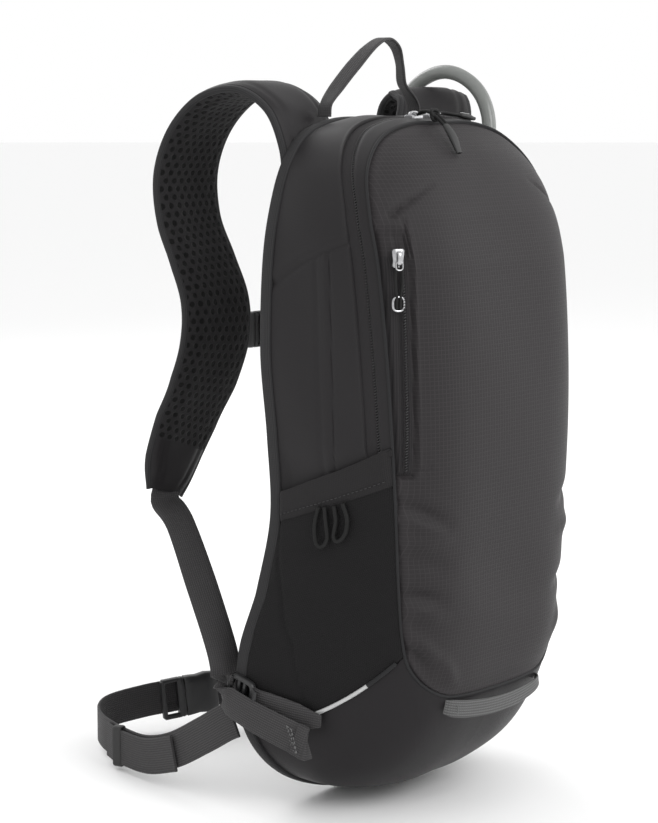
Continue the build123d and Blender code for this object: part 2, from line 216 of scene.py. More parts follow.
def gap_to(x, z, line):
    """Distance from places (x, z) to a chain of points, and how far along the chain 0 to 1 the nearest
    spot is."""
    line = np.asarray(line, float)
    a, b = line[:-1], line[1:]
    d = b - a
    p = np.stack([x, z], -1)[..., None, :]
    t = np.clip(((p - a) * d).sum(-1) / (d * d).sum(-1), 0, 1)
    gap = np.linalg.norm(p - (a + t[..., None] * d), axis=-1)
    best = gap.argmin(-1)
    share = (best + np.take_along_axis(t, best[..., None], -1)[..., 0]) / len(d)
    return gap.min(-1), share


# ---------------------------------------------------------------- meshes
def patches_of(*grids):
    """Patches of a first material for grids that have no uv of their own."""
    return [(grid, None, 0) for grid in grids]


def cells(shape):
    """Corner numbers of every cell of one or many grids of rows and columns."""
    rows, cols = shape[-3], shape[-2]
    many = int(np.prod(shape[:-3])) if len(shape) > 3 else 1
    start = (np.arange(rows - 1)[:, None] * cols + np.arange(cols - 1)).ravel()
    cell = np.stack([start, start + 1, start + cols + 1, start + cols], -1)
    return (cell[None] + (np.arange(many) * rows * cols)[:, None, None]).reshape(-1, 4)


def piece(name, patches, materials, body="pack", replaces=(), outside=None, closed=True, sharp=38):
    """A mesh piece from patches (grid, uv or None, material number or one per cell), welded where they meet.
    A closed piece has its normals set outwards; an open sheet faces away from the point outside gives."""
    points, quads, uvs, numbers, base = [], [], [], [], 0
    for grid, uv, number in patches:
        flat = grid.reshape(-1, 3)
        cell = cells(grid.shape)
        points.append(flat)
        quads.append(cell + base)
        uvs.append(np.zeros((len(flat), 2)) if uv is None else np.broadcast_to(uv,
                grid.shape[:-1] + (2,)).reshape(-1, 2))
        numbers.append(np.broadcast_to(np.asarray(number),
                                       (len(cell),)) if np.ndim(number) == 0 else np.asarray(number).ravel())
        base += len(flat)
    points, quads = np.concatenate(points) * MM, np.concatenate(quads)
    uvs, numbers = np.concatenate(uvs) * MM, np.concatenate(numbers)
    if outside is not None:
        corner = points[quads]
        face = np.cross(corner[:, 2] - corner[:, 0], corner[:, 3] - corner[:, 1])
        if ((corner.mean(1) - np.asarray(outside, float) * MM) * face).sum() < 0:
            quads = quads[:, ::-1]
    mesh = bpy.data.meshes.new(name)
    mesh.vertices.add(len(points))
    mesh.vertices.foreach_set("co", points.astype(np.float32).ravel())
    mesh.loops.add(quads.size)
    mesh.loops.foreach_set("vertex_index", quads.astype(np.int32).ravel())
    mesh.polygons.add(len(quads))
    mesh.polygons.foreach_set("loop_start", np.arange(len(quads), dtype=np.int32) * 4)
    mesh.polygons.foreach_set("material_index", numbers.astype(np.int32))
    mesh.polygons.foreach_set("use_smooth", np.ones(len(quads), bool))
    layer = mesh.uv_layers.new(name="UVMap")
    layer.data.foreach_set("uv", uvs[quads.ravel()].astype(np.float32).ravel())
    mesh.update(calc_edges=True)
    work = bmesh.new()
    work.from_mesh(mesh)
    bmesh.ops.remove_doubles(work, verts=work.verts, dist=2e-6)
    if closed:
        bmesh.ops.recalc_face_normals(work, faces=work.faces)
    work.to_mesh(mesh)
    work.free()
    if sharp:
        mesh.set_sharp_from_angle(angle=math.radians(sharp))
    for material in materials if isinstance(materials, (list, tuple)) else [materials]:
        mesh.materials.append(material)
    obj = bpy.data.objects.new(name, mesh)
    bpy.context.scene.collection.objects.link(obj)
    if body:
        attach(obj, body)
    if replaces:
        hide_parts(*replaces)
    return obj


def lined(obj, thick, offset=-1.0):
    """Gives an open sheet its thickness with Solidify, inwards from the face that shows."""
    wall = obj.modifiers.new("Thickness", "SOLIDIFY")
    wall.thickness = thick * MM
    wall.offset = offset
    return obj


def stitches(path, across, up_shift=0.0, step=3.2, long=2.2, radius=0.32):
    """Thread stitches along a path: small pods of four rings of six, one every step, laid square to across
    x along."""
    path = np.asarray(path, float)
    run = lengths(path)
    at = np.arange(step / 2, run[-1], step)
    mid = np.stack([np.interp(at, run, path[:, k]) for k in range(3)], -1)
    along, side, up = frames(path, across)
    pick = lambda v: unit(np.stack([np.interp(at, run, v[:, k]) for k in range(3)], -1))
    along, side, up = pick(along), pick(side), pick(up)
    s = np.array([-1.0, -0.62, 0.62, 1.0]) * long / 2
    r = np.array([0.02, 1.0, 1.0, 0.02]) * radius
    a = np.linspace(0, 2 * np.pi, 7)
    ring = lambda v, w: v[:, None, None, :] * w[None, :, :, None]
    q0, q1 = np.outer(r, np.cos(a)), np.outer(r, np.sin(a))
    base = (mid + up * up_shift)[:, None, None, :]
    return base + ring(along, np.broadcast_to(s[:, None], q0.shape)) + ring(side, q0) + ring(up, q1)


def coil(path, across, wide, high, pitch=1.7, sides=5, turns=9):
    """Zip coil: a thin tube on a flattened helix, wide across and high up, one turn every pitch."""
    run = lengths(path)
    count = int(run[-1] / pitch) * turns
    at = np.linspace(0, run[-1], count)
    pick = lambda v: np.stack([np.interp(at, run, v[:, k]) for k in range(3)], -1)
    _, side, up = frames(path, across)
    angle = (2 * np.pi * at / pitch)[:, None]
    swing = unit(pick(side)) * np.cos(angle) * wide / 2
    line = pick(path) + swing + unit(pick(up)) * np.sin(angle) * high / 2
    return carried(oval(0.8, 0.8, 2.0, sides), line, pick(up))


# ---------------------------------------------------------------- finishes
def add_node(tree, kind, values=None, **settings):
    """One node with its settings; a value that is another node's socket is linked."""
    node = tree.nodes.new(kind)
    for key, value in settings.items():
        setattr(node, key, value)
    for key, value in (values or {}).items():
        socket = node.inputs[key]
        if isinstance(value, bpy.types.NodeSocket):
            tree.links.new(value, socket)
        else:
            socket.default_value = value
    return node


def maths(tree, operation, *values):
    """A Math node's result."""
    return add_node(tree, "ShaderNodeMath", dict(enumerate(values)), operation=operation).outputs[0]


def line_near(tree, value, width):
    """1 at whole numbers of value, falling smoothly to 0 at width from them."""
    near = maths(tree, "PINGPONG", value, 0.5)
    values = {"Value": near, "From Min": 0.0, "From Max": width, "To Min": 1.0, "To Max": 0.0}
    return add_node(tree, "ShaderNodeMapRange", values, interpolation_type="SMOOTHSTEP").outputs["Result"]


def group(name, inputs, outputs, fill):
    """A shader node group: fill(tree, input sockets) gives the sockets for its outputs."""
    tree = bpy.data.node_groups.new(name, "ShaderNodeTree")
    kinds = {"vector": "NodeSocketVector", "value": "NodeSocketFloat", "colour": "NodeSocketColor"}
    for label, kind, default in inputs:
        socket = tree.interface.new_socket(name=label, in_out="INPUT", socket_type=kinds[kind])
        if default is not None:
            socket.default_value = default
    for label, kind in outputs:
        tree.interface.new_socket(name=label, in_out="OUTPUT", socket_type=kinds[kind])
    start, end = tree.nodes.new("NodeGroupInput"), tree.nodes.new("NodeGroupOutput")
    for (label, _), socket in zip(outputs, fill(tree, start.outputs)):
        tree.links.new(socket, end.inputs[label])
    return tree


def split_by(tree, vector, pitch):
    """The vector's two coordinates, counted in pitches."""
    parts = add_node(tree, "ShaderNodeSeparateXYZ", {0: vector})
    return maths(tree, "DIVIDE", parts.outputs[0], pitch), maths(tree, "DIVIDE", parts.outputs[1], pitch)


def fill_ripstop(tree, given):
    """Thicker threads every pitch both ways, over a fine plain weave."""
    u, v = split_by(tree, given["Vector"], given["Pitch"])
    thread = maths(tree, "MAXIMUM", line_near(tree, u, 0.11), line_near(tree, v, 0.11))
    wave = [maths(tree, "SINE", maths(tree, "MULTIPLY", w, 2 * math.pi * 5)) for w in (u, v)]
    weave = maths(tree, "MULTIPLY", *wave)
    return thread, maths(tree, "ADD", thread, maths(tree, "MULTIPLY", weave, 0.22))


def fill_weave(tree, given):
    """Plain weave: the product of two sines."""
    u, v = split_by(tree, given["Vector"], given["Pitch"])
    wave = [maths(tree, "SINE", maths(tree, "MULTIPLY", w, 2 * math.pi)) for w in (u, v)]
    height = maths(tree, "MULTIPLY_ADD", maths(tree, "MULTIPLY", *wave), 0.5, 0.5)
    return height, height


def fill_ribs(tree, given):
    """Ribs along the piece with a slanted thread across each, as on tape and webbing."""
    u, v = split_by(tree, given["Vector"], given["Pitch"])
    rib = maths(tree, "ABSOLUTE", maths(tree, "SINE", maths(tree, "MULTIPLY", u, math.pi)))
    slant = maths(tree, "PINGPONG", u, 0.5)
    thread = maths(tree, "MULTIPLY", maths(tree, "ADD", v, maths(tree, "MULTIPLY", slant, 1.2)), 2 * math.pi)
    thread = maths(tree, "MULTIPLY_ADD", maths(tree, "SINE", thread), 0.5, 0.5)
    height = maths(tree, "MULTIPLY", rib, maths(tree, "MULTIPLY_ADD", thread, 0.6, 0.4))
    return height, height


def fill_knit(tree, given):
    """Columns of V shaped loops: a sine along the piece whose phase swings across each column."""
    u, v = split_by(tree, given["Vector"], given["Pitch"])
    swing = maths(tree, "PINGPONG", u, 0.5)
    loop = maths(tree, "SINE", maths(tree, "MULTIPLY", maths(tree, "ADD", v, swing), 2 * math.pi))
    column = maths(tree, "POWER", maths(tree, "MULTIPLY", swing, 2.0), 0.6)
    height = maths(tree, "MULTIPLY", maths(tree, "MULTIPLY_ADD", loop, 0.35, 0.65), column)
    return height, height


def fill_holes(tree, given):
    """Round holes on a triangular lattice: the distance to the nearest centre of two rectangular lattices."""
    u, v = split_by(tree, given["Vector"], given["Pitch"])
    reach = []
    for shift in (0.0, 0.5):
        across = maths(tree, "PINGPONG", maths(tree, "ADD", u, shift), 0.5)
        rise = maths(tree, "DIVIDE", v, math.sqrt(3))
        up = maths(tree, "MULTIPLY", maths(tree, "PINGPONG", maths(tree, "ADD", rise, shift), 0.5),
                   math.sqrt(3))
        square = maths(tree, "ADD", maths(tree, "MULTIPLY", across, across), maths(tree, "MULTIPLY", up, up))
        reach.append(maths(tree, "SQRT", square))
    near = maths(tree, "MINIMUM", *reach)
    values = {"Value": near, "From Min": 0.2, "From Max": 0.36, "To Min": 1.0, "To Max": 0.0}
    # The hole mask picks the near-black hole colour: partly the dark layer beneath, partly painted shade
    # inside the holes.
    hole = add_node(tree, "ShaderNodeMapRange", values, interpolation_type="SMOOTHSTEP").outputs["Result"]
    yarn = maths(tree, "MULTIPLY", *[maths(tree, "SINE",
                                           maths(tree, "MULTIPLY", w, 2 * math.pi * 6)) for w in (u, v)])
    solid = maths(tree, "SUBTRACT", 1.0, hole)
    return hole, maths(tree, "ADD", solid, maths(tree, "MULTIPLY", yarn, 0.06))


def fill_pebble(tree, given):
    """Fine spark-eroded grain of moulded plastic and rubber."""
    scale = maths(tree, "DIVIDE", 1.0, given["Pitch"])
    grain = add_node(tree, "ShaderNodeTexNoise", {"Vector": given["Vector"], "Scale": scale, "Detail": 3.0})
    return grain.outputs[0], grain.outputs[0]


def fill_tone(tree, given):
    """Colour with broad and fine changes of shade, and a paler rubbed shade where the wear mask says."""
    broad = add_node(tree, "ShaderNodeTexNoise", {"Vector": given["Vector"], "Scale": 14.0, "Detail": 3.0})
    fine = add_node(tree, "ShaderNodeTexNoise", {"Vector": given["Vector"], "Scale": 420.0, "Detail": 2.0})
    shade = maths(tree, "ADD", maths(tree, "MULTIPLY", broad.outputs[0], 0.65),
                  maths(tree, "MULTIPLY", fine.outputs[0], 0.35))
    shade = maths(tree, "MULTIPLY", maths(tree, "SUBTRACT", shade, 0.5), given["Spread"])
    rub = maths(tree, "MULTIPLY", given["Wear"], broad.outputs[0])
    gain = maths(tree, "ADD", maths(tree, "ADD", shade, 1.0), rub)
    tinted = add_node(tree, "ShaderNodeVectorMath", {0: given["Colour"], 3: gain}, operation="SCALE")
    return tinted.outputs[0], shade


PITCHED = [("Vector", "vector", None), ("Pitch", "value", 0.001)]
MASKED = [("Mask", "value"), ("Height", "value")]
WEAVES = {
    "ripstop": group("ripstop threads", PITCHED, MASKED, fill_ripstop),
    "plain": group("plain weave", PITCHED, MASKED, fill_weave),
    "ribs": group("ribbed tape", PITCHED, MASKED, fill_ribs),
    "knit": group("knitted loops", PITCHED, MASKED, fill_knit),
    "holes": group("air mesh holes", PITCHED, MASKED, fill_holes),
    "pebble": group("moulded grain", PITCHED, MASKED, fill_pebble),
}
TONE = group("cloth tone", [("Vector", "vector", None), ("Colour", "colour", None), ("Spread", "value", 0.3),
                            ("Wear", "value", 0.0)], [("Colour", "colour"), ("Shade", "value")], fill_tone)


CLOTH_SPECULAR = 0.16


def finish(name, dark, light, rough, weave, pitch, depth, spread=0.35, by_uv=True, **sockets):
    """A material: two shades mixed by the weave's mask, mottled, with the weave's height as bump in metres.
    sockets are constants for the shader, such as Sheen_Weight."""
    made = bpy.data.materials.new(name)
    made.use_nodes = True
    tree = made.node_tree
    shader = next(n for n in tree.nodes if n.type == "BSDF_PRINCIPLED")
    where = add_node(tree, "ShaderNodeTexCoord")
    place = where.outputs["UV" if by_uv else "Object"]
    pattern = add_node(tree, "ShaderNodeGroup", node_tree=WEAVES[weave])
    tree.links.new(place, pattern.inputs["Vector"])
    pattern.inputs["Pitch"].default_value = pitch * MM
    wear = add_node(tree, "ShaderNodeAttribute", attribute_name="wear")
    mix = add_node(tree, "ShaderNodeMix", {0: pattern.outputs["Mask"]}, data_type="RGBA")
    mix.inputs[6].default_value = (*dark, 1)
    mix.inputs[7].default_value = (*light, 1)
    tone = add_node(tree, "ShaderNodeGroup", node_tree=TONE)
    tree.links.new(where.outputs["Object"], tone.inputs["Vector"])
    tree.links.new(mix.outputs[2], tone.inputs["Colour"])
    tree.links.new(wear.outputs["Fac"], tone.inputs["Wear"])
    tone.inputs["Spread"].default_value = spread
    tree.links.new(tone.outputs["Colour"], shader.inputs["Base Color"])
    uneven = maths(tree, "MULTIPLY_ADD", tone.outputs["Shade"], 0.5, rough)
    tree.links.new(uneven, shader.inputs["Roughness"])
    bump = add_node(tree, "ShaderNodeBump", {"Height": pattern.outputs["Height"], "Distance": depth * MM})
    tree.links.new(bump.outputs[0], shader.inputs["Normal"])
    if by_uv:
        shader.inputs["Specular IOR Level"].default_value = CLOTH_SPECULAR
    for key, value in sockets.items():
        shader.inputs[key.replace("_", " ")].default_value = value
    return made


RIPSTOP = finish("ripstop nylon", (0.0200, 0.0180, 0.0190), (0.0300, 0.0272, 0.0286), 0.54, "ripstop", 2.6,
                 0.06,
                 Sheen_Weight=0.05, Sheen_Roughness=0.4)
SMOOTH = finish("smooth nylon", (0.0150, 0.0138, 0.0148), (0.0195, 0.0182, 0.0192), 0.48, "plain", 0.9, 0.04,
                Sheen_Weight=0.03, Sheen_Roughness=0.35)
CUP = finish("coated nylon", (0.0120, 0.0106, 0.0118), (0.0155, 0.0142, 0.0153), 0.45, "plain", 1.1, 0.05,
             Sheen_Weight=0.03, Sheen_Roughness=0.35)
BACK = finish("back fabric", (0.020, 0.020, 0.021), (0.030, 0.030, 0.031), 0.72, "plain", 1.2, 0.08,
              Sheen_Weight=0.03)
# Yarn colour, then hole colour: the near-black holes are partly the dark layer beneath and partly painted
# shade inside the holes.
AIR_MESH = finish("air mesh", (0.020, 0.019, 0.020), (0.004, 0.004, 0.004), 0.80, "holes", 6.4, 1.3,
                  Sheen_Weight=0.04)
KNIT = finish("stretch knit", (0.0060, 0.0056, 0.0060), (0.0125, 0.0120, 0.0125), 0.82, "knit", 1.5, 0.20,
              Sheen_Weight=0.03)
HEM = finish("hem knit", (0.0120, 0.0112, 0.0118), (0.0200, 0.0188, 0.0195), 0.70, "ribs", 1.3, 0.12,
             Sheen_Weight=0.03)
BINDING = finish("binding tape", (0.018, 0.018, 0.019), (0.036, 0.035, 0.036), 0.66, "ribs", 1.1, 0.15,
                 Sheen_Weight=0.03)
TAPE = finish("zip tape", (0.014, 0.013, 0.014), (0.030, 0.028, 0.029), 0.70, "ribs", 0.9, 0.10)
COIL = finish("zip coil nylon", (0.016, 0.015, 0.016), (0.026, 0.025, 0.026), 0.38, "pebble", 0.5, 0.01,
              by_uv=False)
METAL = finish("zip metal", (0.30, 0.30, 0.31), (0.55, 0.55, 0.56), 0.32, "pebble", 1.4, 0.01, by_uv=False,
               Metallic=1.0)
CORD = finish("pull cord", (0.012, 0.012, 0.012), (0.040, 0.039, 0.040), 0.62, "ribs", 1.0, 0.2)
WEBBING = finish("webbing", (0.026, 0.025, 0.026), (0.062, 0.060, 0.061), 0.60, "ribs", 1.5, 0.22,
                 Sheen_Weight=0.03)
SILVER = finish("reflective tape", (0.36, 0.36, 0.36), (0.62, 0.62, 0.62), 0.30, "plain", 0.7, 0.03,
                Metallic=0.35)
LOOP_TAPE = finish("light loop tape", (0.055, 0.055, 0.055), (0.13, 0.13, 0.13), 0.50, "ribs", 1.6, 0.2)
PLASTIC = finish("moulded plastic", (0.012, 0.012, 0.0125), (0.020, 0.020, 0.021), 0.42, "pebble", 0.6, 0.03,
                 by_uv=False)
FILM = finish("clear film", (0.42, 0.52, 0.58), (0.55, 0.64, 0.70), 0.22, "pebble", 6.0, 0.25, by_uv=False,
              Transmission_Weight=0.55, IOR=1.45)
BUTTON = finish("button plastic", (0.10, 0.20, 0.30), (0.13, 0.25, 0.36), 0.40, "pebble", 0.6, 0.02,
                by_uv=False)
HOSE = finish("hose tube", (0.20, 0.21, 0.20), (0.26, 0.27, 0.26), 0.30, "pebble", 30.0, 0.02, by_uv=False,
              Transmission_Weight=0.35, IOR=1.4, Coat_Weight=0.3)
RUBBER = finish("soft rubber", (0.014, 0.014, 0.014), (0.024, 0.024, 0.024), 0.60, "pebble", 0.8, 0.05,
                by_uv=False)
SILICONE = finish("valve silicone", (0.30, 0.34, 0.36), (0.38, 0.42, 0.44), 0.38, "pebble", 4.0, 0.05,
                  by_uv=False,
                  Subsurface_Weight=0.2)
THREAD = finish("thread", (0.10, 0.10, 0.10), (0.17, 0.17, 0.17), 0.60, "plain", 0.5, 0.02)
DARK_THREAD = finish("dark thread", (0.030, 0.030, 0.031), (0.055, 0.054, 0.055), 0.60, "plain", 0.5, 0.02)


# ---------------------------------------------------------------- the bag: two loops and the band between
# A loop's turn runs from 0 at the bottom centre to TOP at the top centre, negative on the left
TOP = 16.0
BACK_LOOP = [(0, 1), (30, 1), (58, 8), (80, 20), (97, 40), (106, 68), (106, 104), (101, 145), (97, 190),
             (98.5, 240), (101, 292), (98.5, 345), (92, 378), (81, 405), (64, 423), (34, 431), (0, 431.5)]
BACK_CURVE = [(0, 2), (10, 6), (25, 11), (46, 15), (62, 17), (100, 14), (135, 4), (185, -4), (236, -3),
              (290, 0), (440, 0)]
FRONT_LOOP = [(0, -104, 77), (28, -103.5, 77.5), (50, -101, 80), (66, -96.5, 89), (76.5, -92.5, 103),
              (80.5, -91, 121), (83, -91, 141), (85, -91, 165), (87, -91, 198), (89.5, -90, 243),
              (91, -87, 292),
              (93, -82, 345), (92.5, -75, 376), (84, -66, 403), (62, -59, 422), (32, -56.5, 430),
              (0, -56, 430.5)]
FRONT_CURVE = [(77, -104), (90, -106.5), (110, -108.5), (135, -110), (185, -112.5), (236, -113.5),
               (290, -112),
               (345, -107), (375, -99), (395, -91), (412, -81), (424, -71), (431, -57)]
FACE_LOW, FACE_HIGH = 121.0, 356.0      # ends of the front's middle line
CUP_TURN = 4.4                          # the bottom cup lies between these turns
MIDDLE = (0, -45, 230)


def back_loop(turn):
    """Edge of the back panel at a turn."""
    x, z = np.moveaxis(through(BACK_LOOP, np.abs(turn)), -1, 0)
    return np.stack([x * np.sign(turn), graded(BACK_CURVE, z), z], -1)


def front_loop(turn):
    """Seam round the front at a turn."""
    return through(FRONT_LOOP, np.abs(turn)) * np.stack([np.sign(turn), 1 + 0 * turn, 1 + 0 * turn], -1)


def side(turn, depth, off=0.0):
    """The gusset: from the back loop at depth 0 to the front seam at depth 1 on a curve pulled to one
    control point,
    which stands a little out of the middle on the sides and far down and forward at the bottom."""
    turn, depth = np.broadcast_arrays(np.asarray(turn, float), np.asarray(depth, float))
    low = ease(np.abs(turn), 6.5, 2.0)

    def middle(t):
        return (back_loop(t) + front_loop(t)) / 2

    step = 0.02
    ahead, behind = np.clip(turn + step, -TOP, TOP), np.clip(turn - step, -TOP, TOP)
    run = middle(ahead) - middle(behind)
    out = unit(np.stack([run[..., 2], 0 * turn, -run[..., 0]], -1))
    down = np.stack([0 * turn, -24 + 0 * turn, -31 + 0 * turn], -1)
    control = middle(turn) + out * (7 + 4 * low)[..., None] + down * low[..., None]
    d = depth[..., None]
    base = (1 - d) ** 2 * back_loop(turn) + 2 * d * (1 - d) * control + d ** 2 * front_loop(turn)
    return base + out * np.asarray(off)[..., None]


def across_side(turn):
    """Straight distance across the gusset at a turn."""
    return np.linalg.norm(front_loop(turn) - back_loop(turn), axis=-1)


def zip_depth(turn, before=0.0):
    """Depth of the main zip: 9 mm from the front seam on the sides, 14 mm over the top, less a distance
    before it."""
    width = 9 + 5 * ease(np.abs(turn), 12, 14.5) + before
    return 1 - width / across_side(turn)


def wrap(turn):
    """Turns past the top carry on down the other side."""
    return np.where(turn > TOP, turn - 2 * TOP, turn)


def face(turn, reach):
    """The front: from its middle line at reach 0 to the seam at reach 1; it crowns by 1 - reach^5.5."""
    seam = front_loop(turn)
    x = seam[..., 0] * reach
    middle = np.clip(seam[..., 2], FACE_LOW, FACE_HIGH)
    z = middle + (seam[..., 2] - middle) * reach
    crown = np.minimum(graded(FRONT_CURVE, z), seam[..., 1])
    return np.stack([x, seam[..., 1] + (crown - seam[..., 1]) * (1 - reach ** 5.5), z], -1)


# Folds of slack cloth at the lower corner of the front: start X, Z, end X, Z, width, depth
FOLDS = [(-88, 205, -62, 191, 4.5, -2.2), (-88, 198, -60, 182, 5, 1.2), (-87, 182, -66, 179, 5, 1.4),
         (-86, 172, -58, 163, 6, -1.2), (-84, 148, -62, 144, 4.5, -2.0), (-83, 139, -60, 132, 5, 1.4),
         (-81, 126, -60, 104, 4.5, 1.7), (-80, 116, -66, 99, 3.5, -1.5), (-60, 108, -44, 88, 5, 1.0),
         (88, 200, 60, 188, 5, -1.8), (87, 176, 62, 170, 6, 1.4), (84, 142, 60, 134, 5, -1.6),
         (80, 120, 62, 100, 5, 1.4)]
YOKE_DART = [(84, 377), (78.5, 381), (66, 387.5), (57.5, 391.5), (47, 395)]
POCKET_EDGE = [(-78.9, 374), (-79.5, 355), (-80.5, 319), (-80.5, 270), (-80, 224)]
POCKET_END = [(-90, 220), (-84, 221.5), (-73, 226)]
STRIP_LOW, STRIP_HIGH = 222.0, 370.0


def front_relief(x, z, reach):
    """How far the front stands out of its smooth form: slack, folds, sewn darts, the zip strip and the
    seam's turn."""
    out = 0.7 * np.sin(z / 31 + x / 47) * np.sin(x / 29 + 1.3) * (1 - reach ** 4)
    out += 0.8 * np.sin(z / 9 + x / 23 + 0.6) * ease(z, 220, 110) * (1 - reach ** 6)
    for x0, z0, x1, z1, width, depth in FOLDS:
        gap, share = gap_to(x, z, [(x0, z0), (x1, z1)])
        out += 1.6 * depth * bell(gap, width) * np.sin(np.pi * np.clip(share * 0.72 + 0.14, 0, 1)) ** 1.5
    gap, share = gap_to(np.abs(x), z, YOKE_DART)
    out -= 1.7 * bell(gap, 1.3) * (1 - share ** 4) + 0.5 * bell(gap, 5) * (1 - share ** 2)
    gap, share = gap_to(x, z, POCKET_EDGE)
    inside = ease(x, -80.2, -81.4) * ease(z, STRIP_LOW - 2, STRIP_LOW) * ease(z, STRIP_HIGH + 2,
                                                                              STRIP_HIGH - 6)
    out += 0.9 * bell(gap - 1.6, 1.2) * ease(x, -81, -80) * ease(z, 374, 364) - 1.8 * inside
    out -= 1.1 * bell(gap, 0.9)
    gap, _ = gap_to(x, z, POCKET_END)
    out -= 1.1 * bell(gap, 1.1)
    out -= 0.9 * bell(x + 85.4, 0.8) * inside
    return out - 1.4 * bell(1 - reach, 0.018)


def seam_relief(turn, depth):
    """Grooves of the side panel's seams: one rising across it and one running down, on both sides."""
    t = np.abs(turn)
    rise = np.interp(depth, [0.0, 0.12, 0.32, 0.56, 0.82], [10.72, 10.8, 11.02, 11.24, 11.46])
    out = -1.3 * bell((t - rise) * 28, 1.3) + 0.35 * bell((t - rise - 0.12) * 28, 2.5)
    long = np.interp(t, [8.4, 11.3], [0.52, 0.59])
    below = ease(t, rise + 0.02, rise - 0.05)
    out -= (1.2 * bell((depth - long) * 95, 1.2) - 0.3 * bell((depth - long) * 95 + 3, 2.5)) * below
    second = np.interp(t, [8.4, 11.3], [0.43, 0.47])
    out -= 0.55 * bell((depth - second) * 95, 1.5) * below
    out += 0.8 * np.sin(t * 2.1 + depth * 5) * np.sin(np.pi * np.clip(depth / 0.85, 0, 1)) * ease(t, 4.4, 6)
    return out


def uv_of(grid, around):
    """Flat coordinates of a grid: rows along the first direction, columns along the second, both as run
    lengths."""
    middle = grid[:, grid.shape[1] // 2]
    rows = np.broadcast_to(lengths(middle)[:, None], grid.shape[:2])
    steps = np.linalg.norm(np.diff(grid, axis=1), axis=-1)
    cols = np.concatenate([np.zeros((len(grid), 1)), np.cumsum(steps, 1)], 1)
    return np.stack([cols, rows] if around else [rows, cols], -1)


def mark_wear(obj, values):
    """Stores how rubbed each point is, 0 to 1, for the cloth tone."""
    layer = obj.data.attributes.new("wear", "FLOAT", "POINT")
    layer.data.foreach_set("value", np.asarray(values, np.float32))


def points_of(obj):
    """The piece's points in millimetres."""
    flat = np.zeros(len(obj.data.vertices) * 3, np.float32)
    obj.data.vertices.foreach_get("co", flat)
    return flat.reshape(-1, 3).astype(float) / MM


def make_front():
    """Front face with its pocket's tape, the strip between its seam and the main zip, and the welt in the
    seam."""
    turn = np.linspace(-TOP, TOP, 641)[None, :]
    share = np.linspace(0, 1, 72)[:, None]
    reach = 1 - (1 - share) ** 1.55
    smooth_face = face(turn, reach)
    relief = front_relief(smooth_face[..., 0], smooth_face[..., 2], reach + 0 * turn)
    out = normals_of(smooth_face)
    out *= np.where(out[..., 1:2] > 0, -1, 1)
    grid = smooth_face + out * relief[..., None]
    centre = (grid[:-1, :-1] + grid[1:, 1:]) / 2
    in_strip = (centre[..., 0] < -80.4) & (centre[..., 2] > STRIP_LOW) & (centre[..., 2] < 352)
    shell = piece("front_face", [(grid, grid[..., [0, 2]], in_strip.astype(int))], [RIPSTOP, TAPE], None,
                  ["front_panel", "front_fold", "lower_front_wall"], MIDDLE, closed=False)
    points = points_of(shell)
    seam = through(FRONT_LOOP, np.linspace(0, TOP, 400))
    near = np.sqrt(((np.abs(points[:, None, ::2]) - seam[None, :, ::2]) ** 2).sum(-1)).min(1)
    mark_wear(shell, 0.35 * bell(near - 2.5, 2.5))
    lined(shell, 1.0)
    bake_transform(shell)

    turn = np.concatenate([np.linspace(6.8, TOP, 240), np.linspace(TOP, 2 * TOP - 6.8, 240)[1:]])[None, :]
    turn = wrap(turn)
    tuck = ease(np.abs(turn), 6.9, 7.8)
    edge = 1 - (1 - zip_depth(turn)) * tuck * 0.97
    depth = edge + (1 - edge) * np.linspace(0, 1, 9)[:, None]
    off = -0.5 * bell(depth - edge, 0.004) - 0.9 * bell(1 - depth, 0.012) - 1.2 * ease(np.abs(turn), 8.6, 7.9)
    strip = side(turn, depth, off)
    obj = piece("front_zip_strip", [(strip, uv_of(strip, True), 0)], SMOOTH, None, ["main_zip_tape_front"],
                MIDDLE, closed=False)
    lined(obj, 0.9)
    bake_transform(obj)

    turn = np.linspace(-TOP, TOP, 700)
    welt = front_loop(turn) + np.array([0, 0.5, 0])
    welt[-1] = welt[0]
    tube = carried(oval(1.9, 1.9, 2.0, 8), welt, unit(np.stack([welt[:, 0], 0 * turn, welt[:, 2] - 240], -1)))
    tube[-1] = tube[0]
    obj = piece("front_seam_welt", patches_of(tube), BINDING, None)
    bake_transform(obj)


